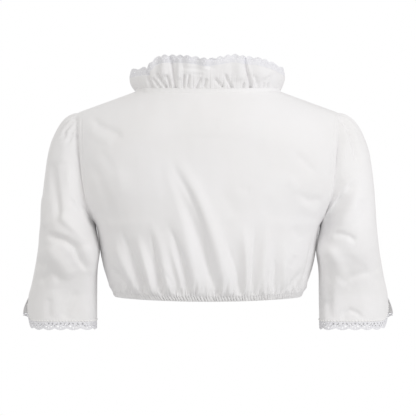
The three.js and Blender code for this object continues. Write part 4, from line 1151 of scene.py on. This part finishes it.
def weaveNormal(tree, objectPlace, weave, slack):
    uv = addNode(tree, "UVMap", {}, uv_map="weave")
    split = addNode(tree, "SeparateXYZ", {0: uv.outputs["UV"]})
    pitch, strength, distance = weave
    waves = []
    for axis in (0, 1):
        turn = addNode(tree, "Math", {0: split.outputs[axis], 1: 2 * math.pi / pitch}, operation="MULTIPLY")
        waves.append(addNode(tree, "Math", {0: turn.outputs[0]}, operation="SINE").outputs[0])
    threads = addNode(tree, "Math", {0: waves[0], 1: waves[1]}, operation="MULTIPLY")
    fine = addNode(tree, "Bump", {"Strength": strength, "Distance": distance, "Height": threads.outputs[0]})
    crumple = addNode(tree, "TexNoise", {"Scale": slack[0], "Detail": 4, "Roughness": 0.55,
                                         "Vector": objectPlace})
    soft = addNode(tree, "Bump", {"Strength": slack[1], "Distance": 0.0008, "Height": crumple.outputs["Fac"],
                                  "Normal": fine.outputs["Normal"]})
    return soft.outputs["Normal"]


def newMaterial(name):
    finish = finishes[name]
    material = bpy.data.materials.new(name)
    material.use_nodes = True
    tree = material.node_tree
    shader = tree.nodes["Principled BSDF"]
    shader.inputs["Base Color"].default_value = (*finish["base"], 1)
    shader.inputs["Roughness"].default_value = finish["roughness"]
    shader.inputs["Sheen Weight"].default_value = finish["sheen"]
    shader.inputs["Sheen Roughness"].default_value = 0.5
    if finish["tones"]:
        objectPlace = addNode(tree, "TexCoord", {}).outputs["Object"]
        if finish["weave"]:
            normal = weaveNormal(tree, objectPlace, finish["weave"], finish["slack"])
            tree.links.new(normal, shader.inputs["Normal"])
        clouds = addNode(tree, "TexNoise", {"Scale": finish["toneScale"], "Detail": 3, "Vector": objectPlace})
        tone = addNode(tree, "ValToRGB", {"Fac": clouds.outputs["Fac"]})
        for stop, place, colour in zip(tone.color_ramp.elements, (0.35, 0.65), finish["tones"]):
            stop.position = place
            stop.color = (*colour, 1)
        tree.links.new(tone.outputs["Color"], shader.inputs["Base Color"])
    return material


cotton, laceCotton, thread = (newMaterial(name) for name in ("whiteCotton", "whiteLace", "whiteThread"))
for piece in (backCloth, frontCloth, *sleeveCloth.values(), frillCloth, neckBinding, hemCasing):
    piece.data.materials.append(cotton)
for piece in (collarLace, *cuffLaces.values()):
    piece.data.materials.append(laceCotton)
seamStitches.data.materials.append(thread)
print("finishes made")

# stage, light and camera
stage = {"floorHeight": -0.62, "floorSize": 1.0, "lightsAimAt": (0, 0, -0.16), "around": 0.665,
         "aroundColour": (0.995, 0.985, 0.98, 1)}
photoCamera = {"lens": 173.1, "sensorWidth": 36, "place": (0, 3.0, -0.174)}
studioLights = [  # name, place, size, watts, colour
    ("windowSoftbox", (-1.5, 1.6, 0.62), 1.0, 15.5, (0.985, 0.985, 1.0)),
    ("fillSoftbox", (1.6, 2.0, 1.8), 1.8, 9.5, (1.0, 0.98, 0.91)),
    ("frontSoftbox", (1.2, -2.8, 0.9), 2.0, 16, (1.0, 0.99, 0.98)),
]


def stageFloor():
    bm = bmesh.new()
    bmesh.ops.create_grid(bm, x_segments=1, y_segments=1, size=stage["floorSize"])
    for vert in bm.verts:
        vert.co.z = stage["floorHeight"]
    floor = addObject(bm, "studioFloor")
    floor.data.materials.append(newMaterial("paleFloor"))


def softLight(name, place, size, power, colour):
    light = bpy.data.lights.new(name, "AREA")
    light.shape = "DISK"
    light.size = size
    light.energy = power
    light.color = colour
    lamp = bpy.data.objects.new(name, light)
    lamp.location = place
    aim = Vector(stage["lightsAimAt"]) - Vector(place)
    lamp.rotation_euler = aim.to_track_quat("-Z", "Y").to_euler()
    bpy.context.scene.collection.objects.link(lamp)


# white behind the blouse, and a softer light from all round on it
def whiteWorld():
    world = bpy.data.worlds.new("whiteStudio")
    bpy.context.scene.world = world
    world.use_nodes = True
    tree = world.node_tree
    tree.nodes.clear()
    seen = addNode(tree, "Background", {"Strength": 1.0, "Color": (1, 1, 1, 1)})
    around = addNode(tree, "Background", {"Strength": stage["around"], "Color": stage["aroundColour"]})
    path = addNode(tree, "LightPath", {})
    choose = addNode(tree, "MixShader", {0: path.outputs["Is Camera Ray"], 1: around.outputs[0],
                                         2: seen.outputs[0]})
    addNode(tree, "OutputWorld", {"Surface": choose.outputs[0]})


def studio():
    stageFloor()
    whiteWorld()
    for light in studioLights:
        softLight(*light)
    camera = bpy.data.cameras.new("photoCamera")
    camera.lens = photoCamera["lens"]
    camera.sensor_width = photoCamera["sensorWidth"]
    view = bpy.data.objects.new("photoCamera", camera)
    view.location = photoCamera["place"]
    view.rotation_euler = (math.pi / 2, 0, math.pi)
    bpy.context.scene.collection.objects.link(view)
    bpy.context.scene.camera = view
    bpy.context.scene.view_settings.view_transform = "Standard"


studio()
print("studio made")
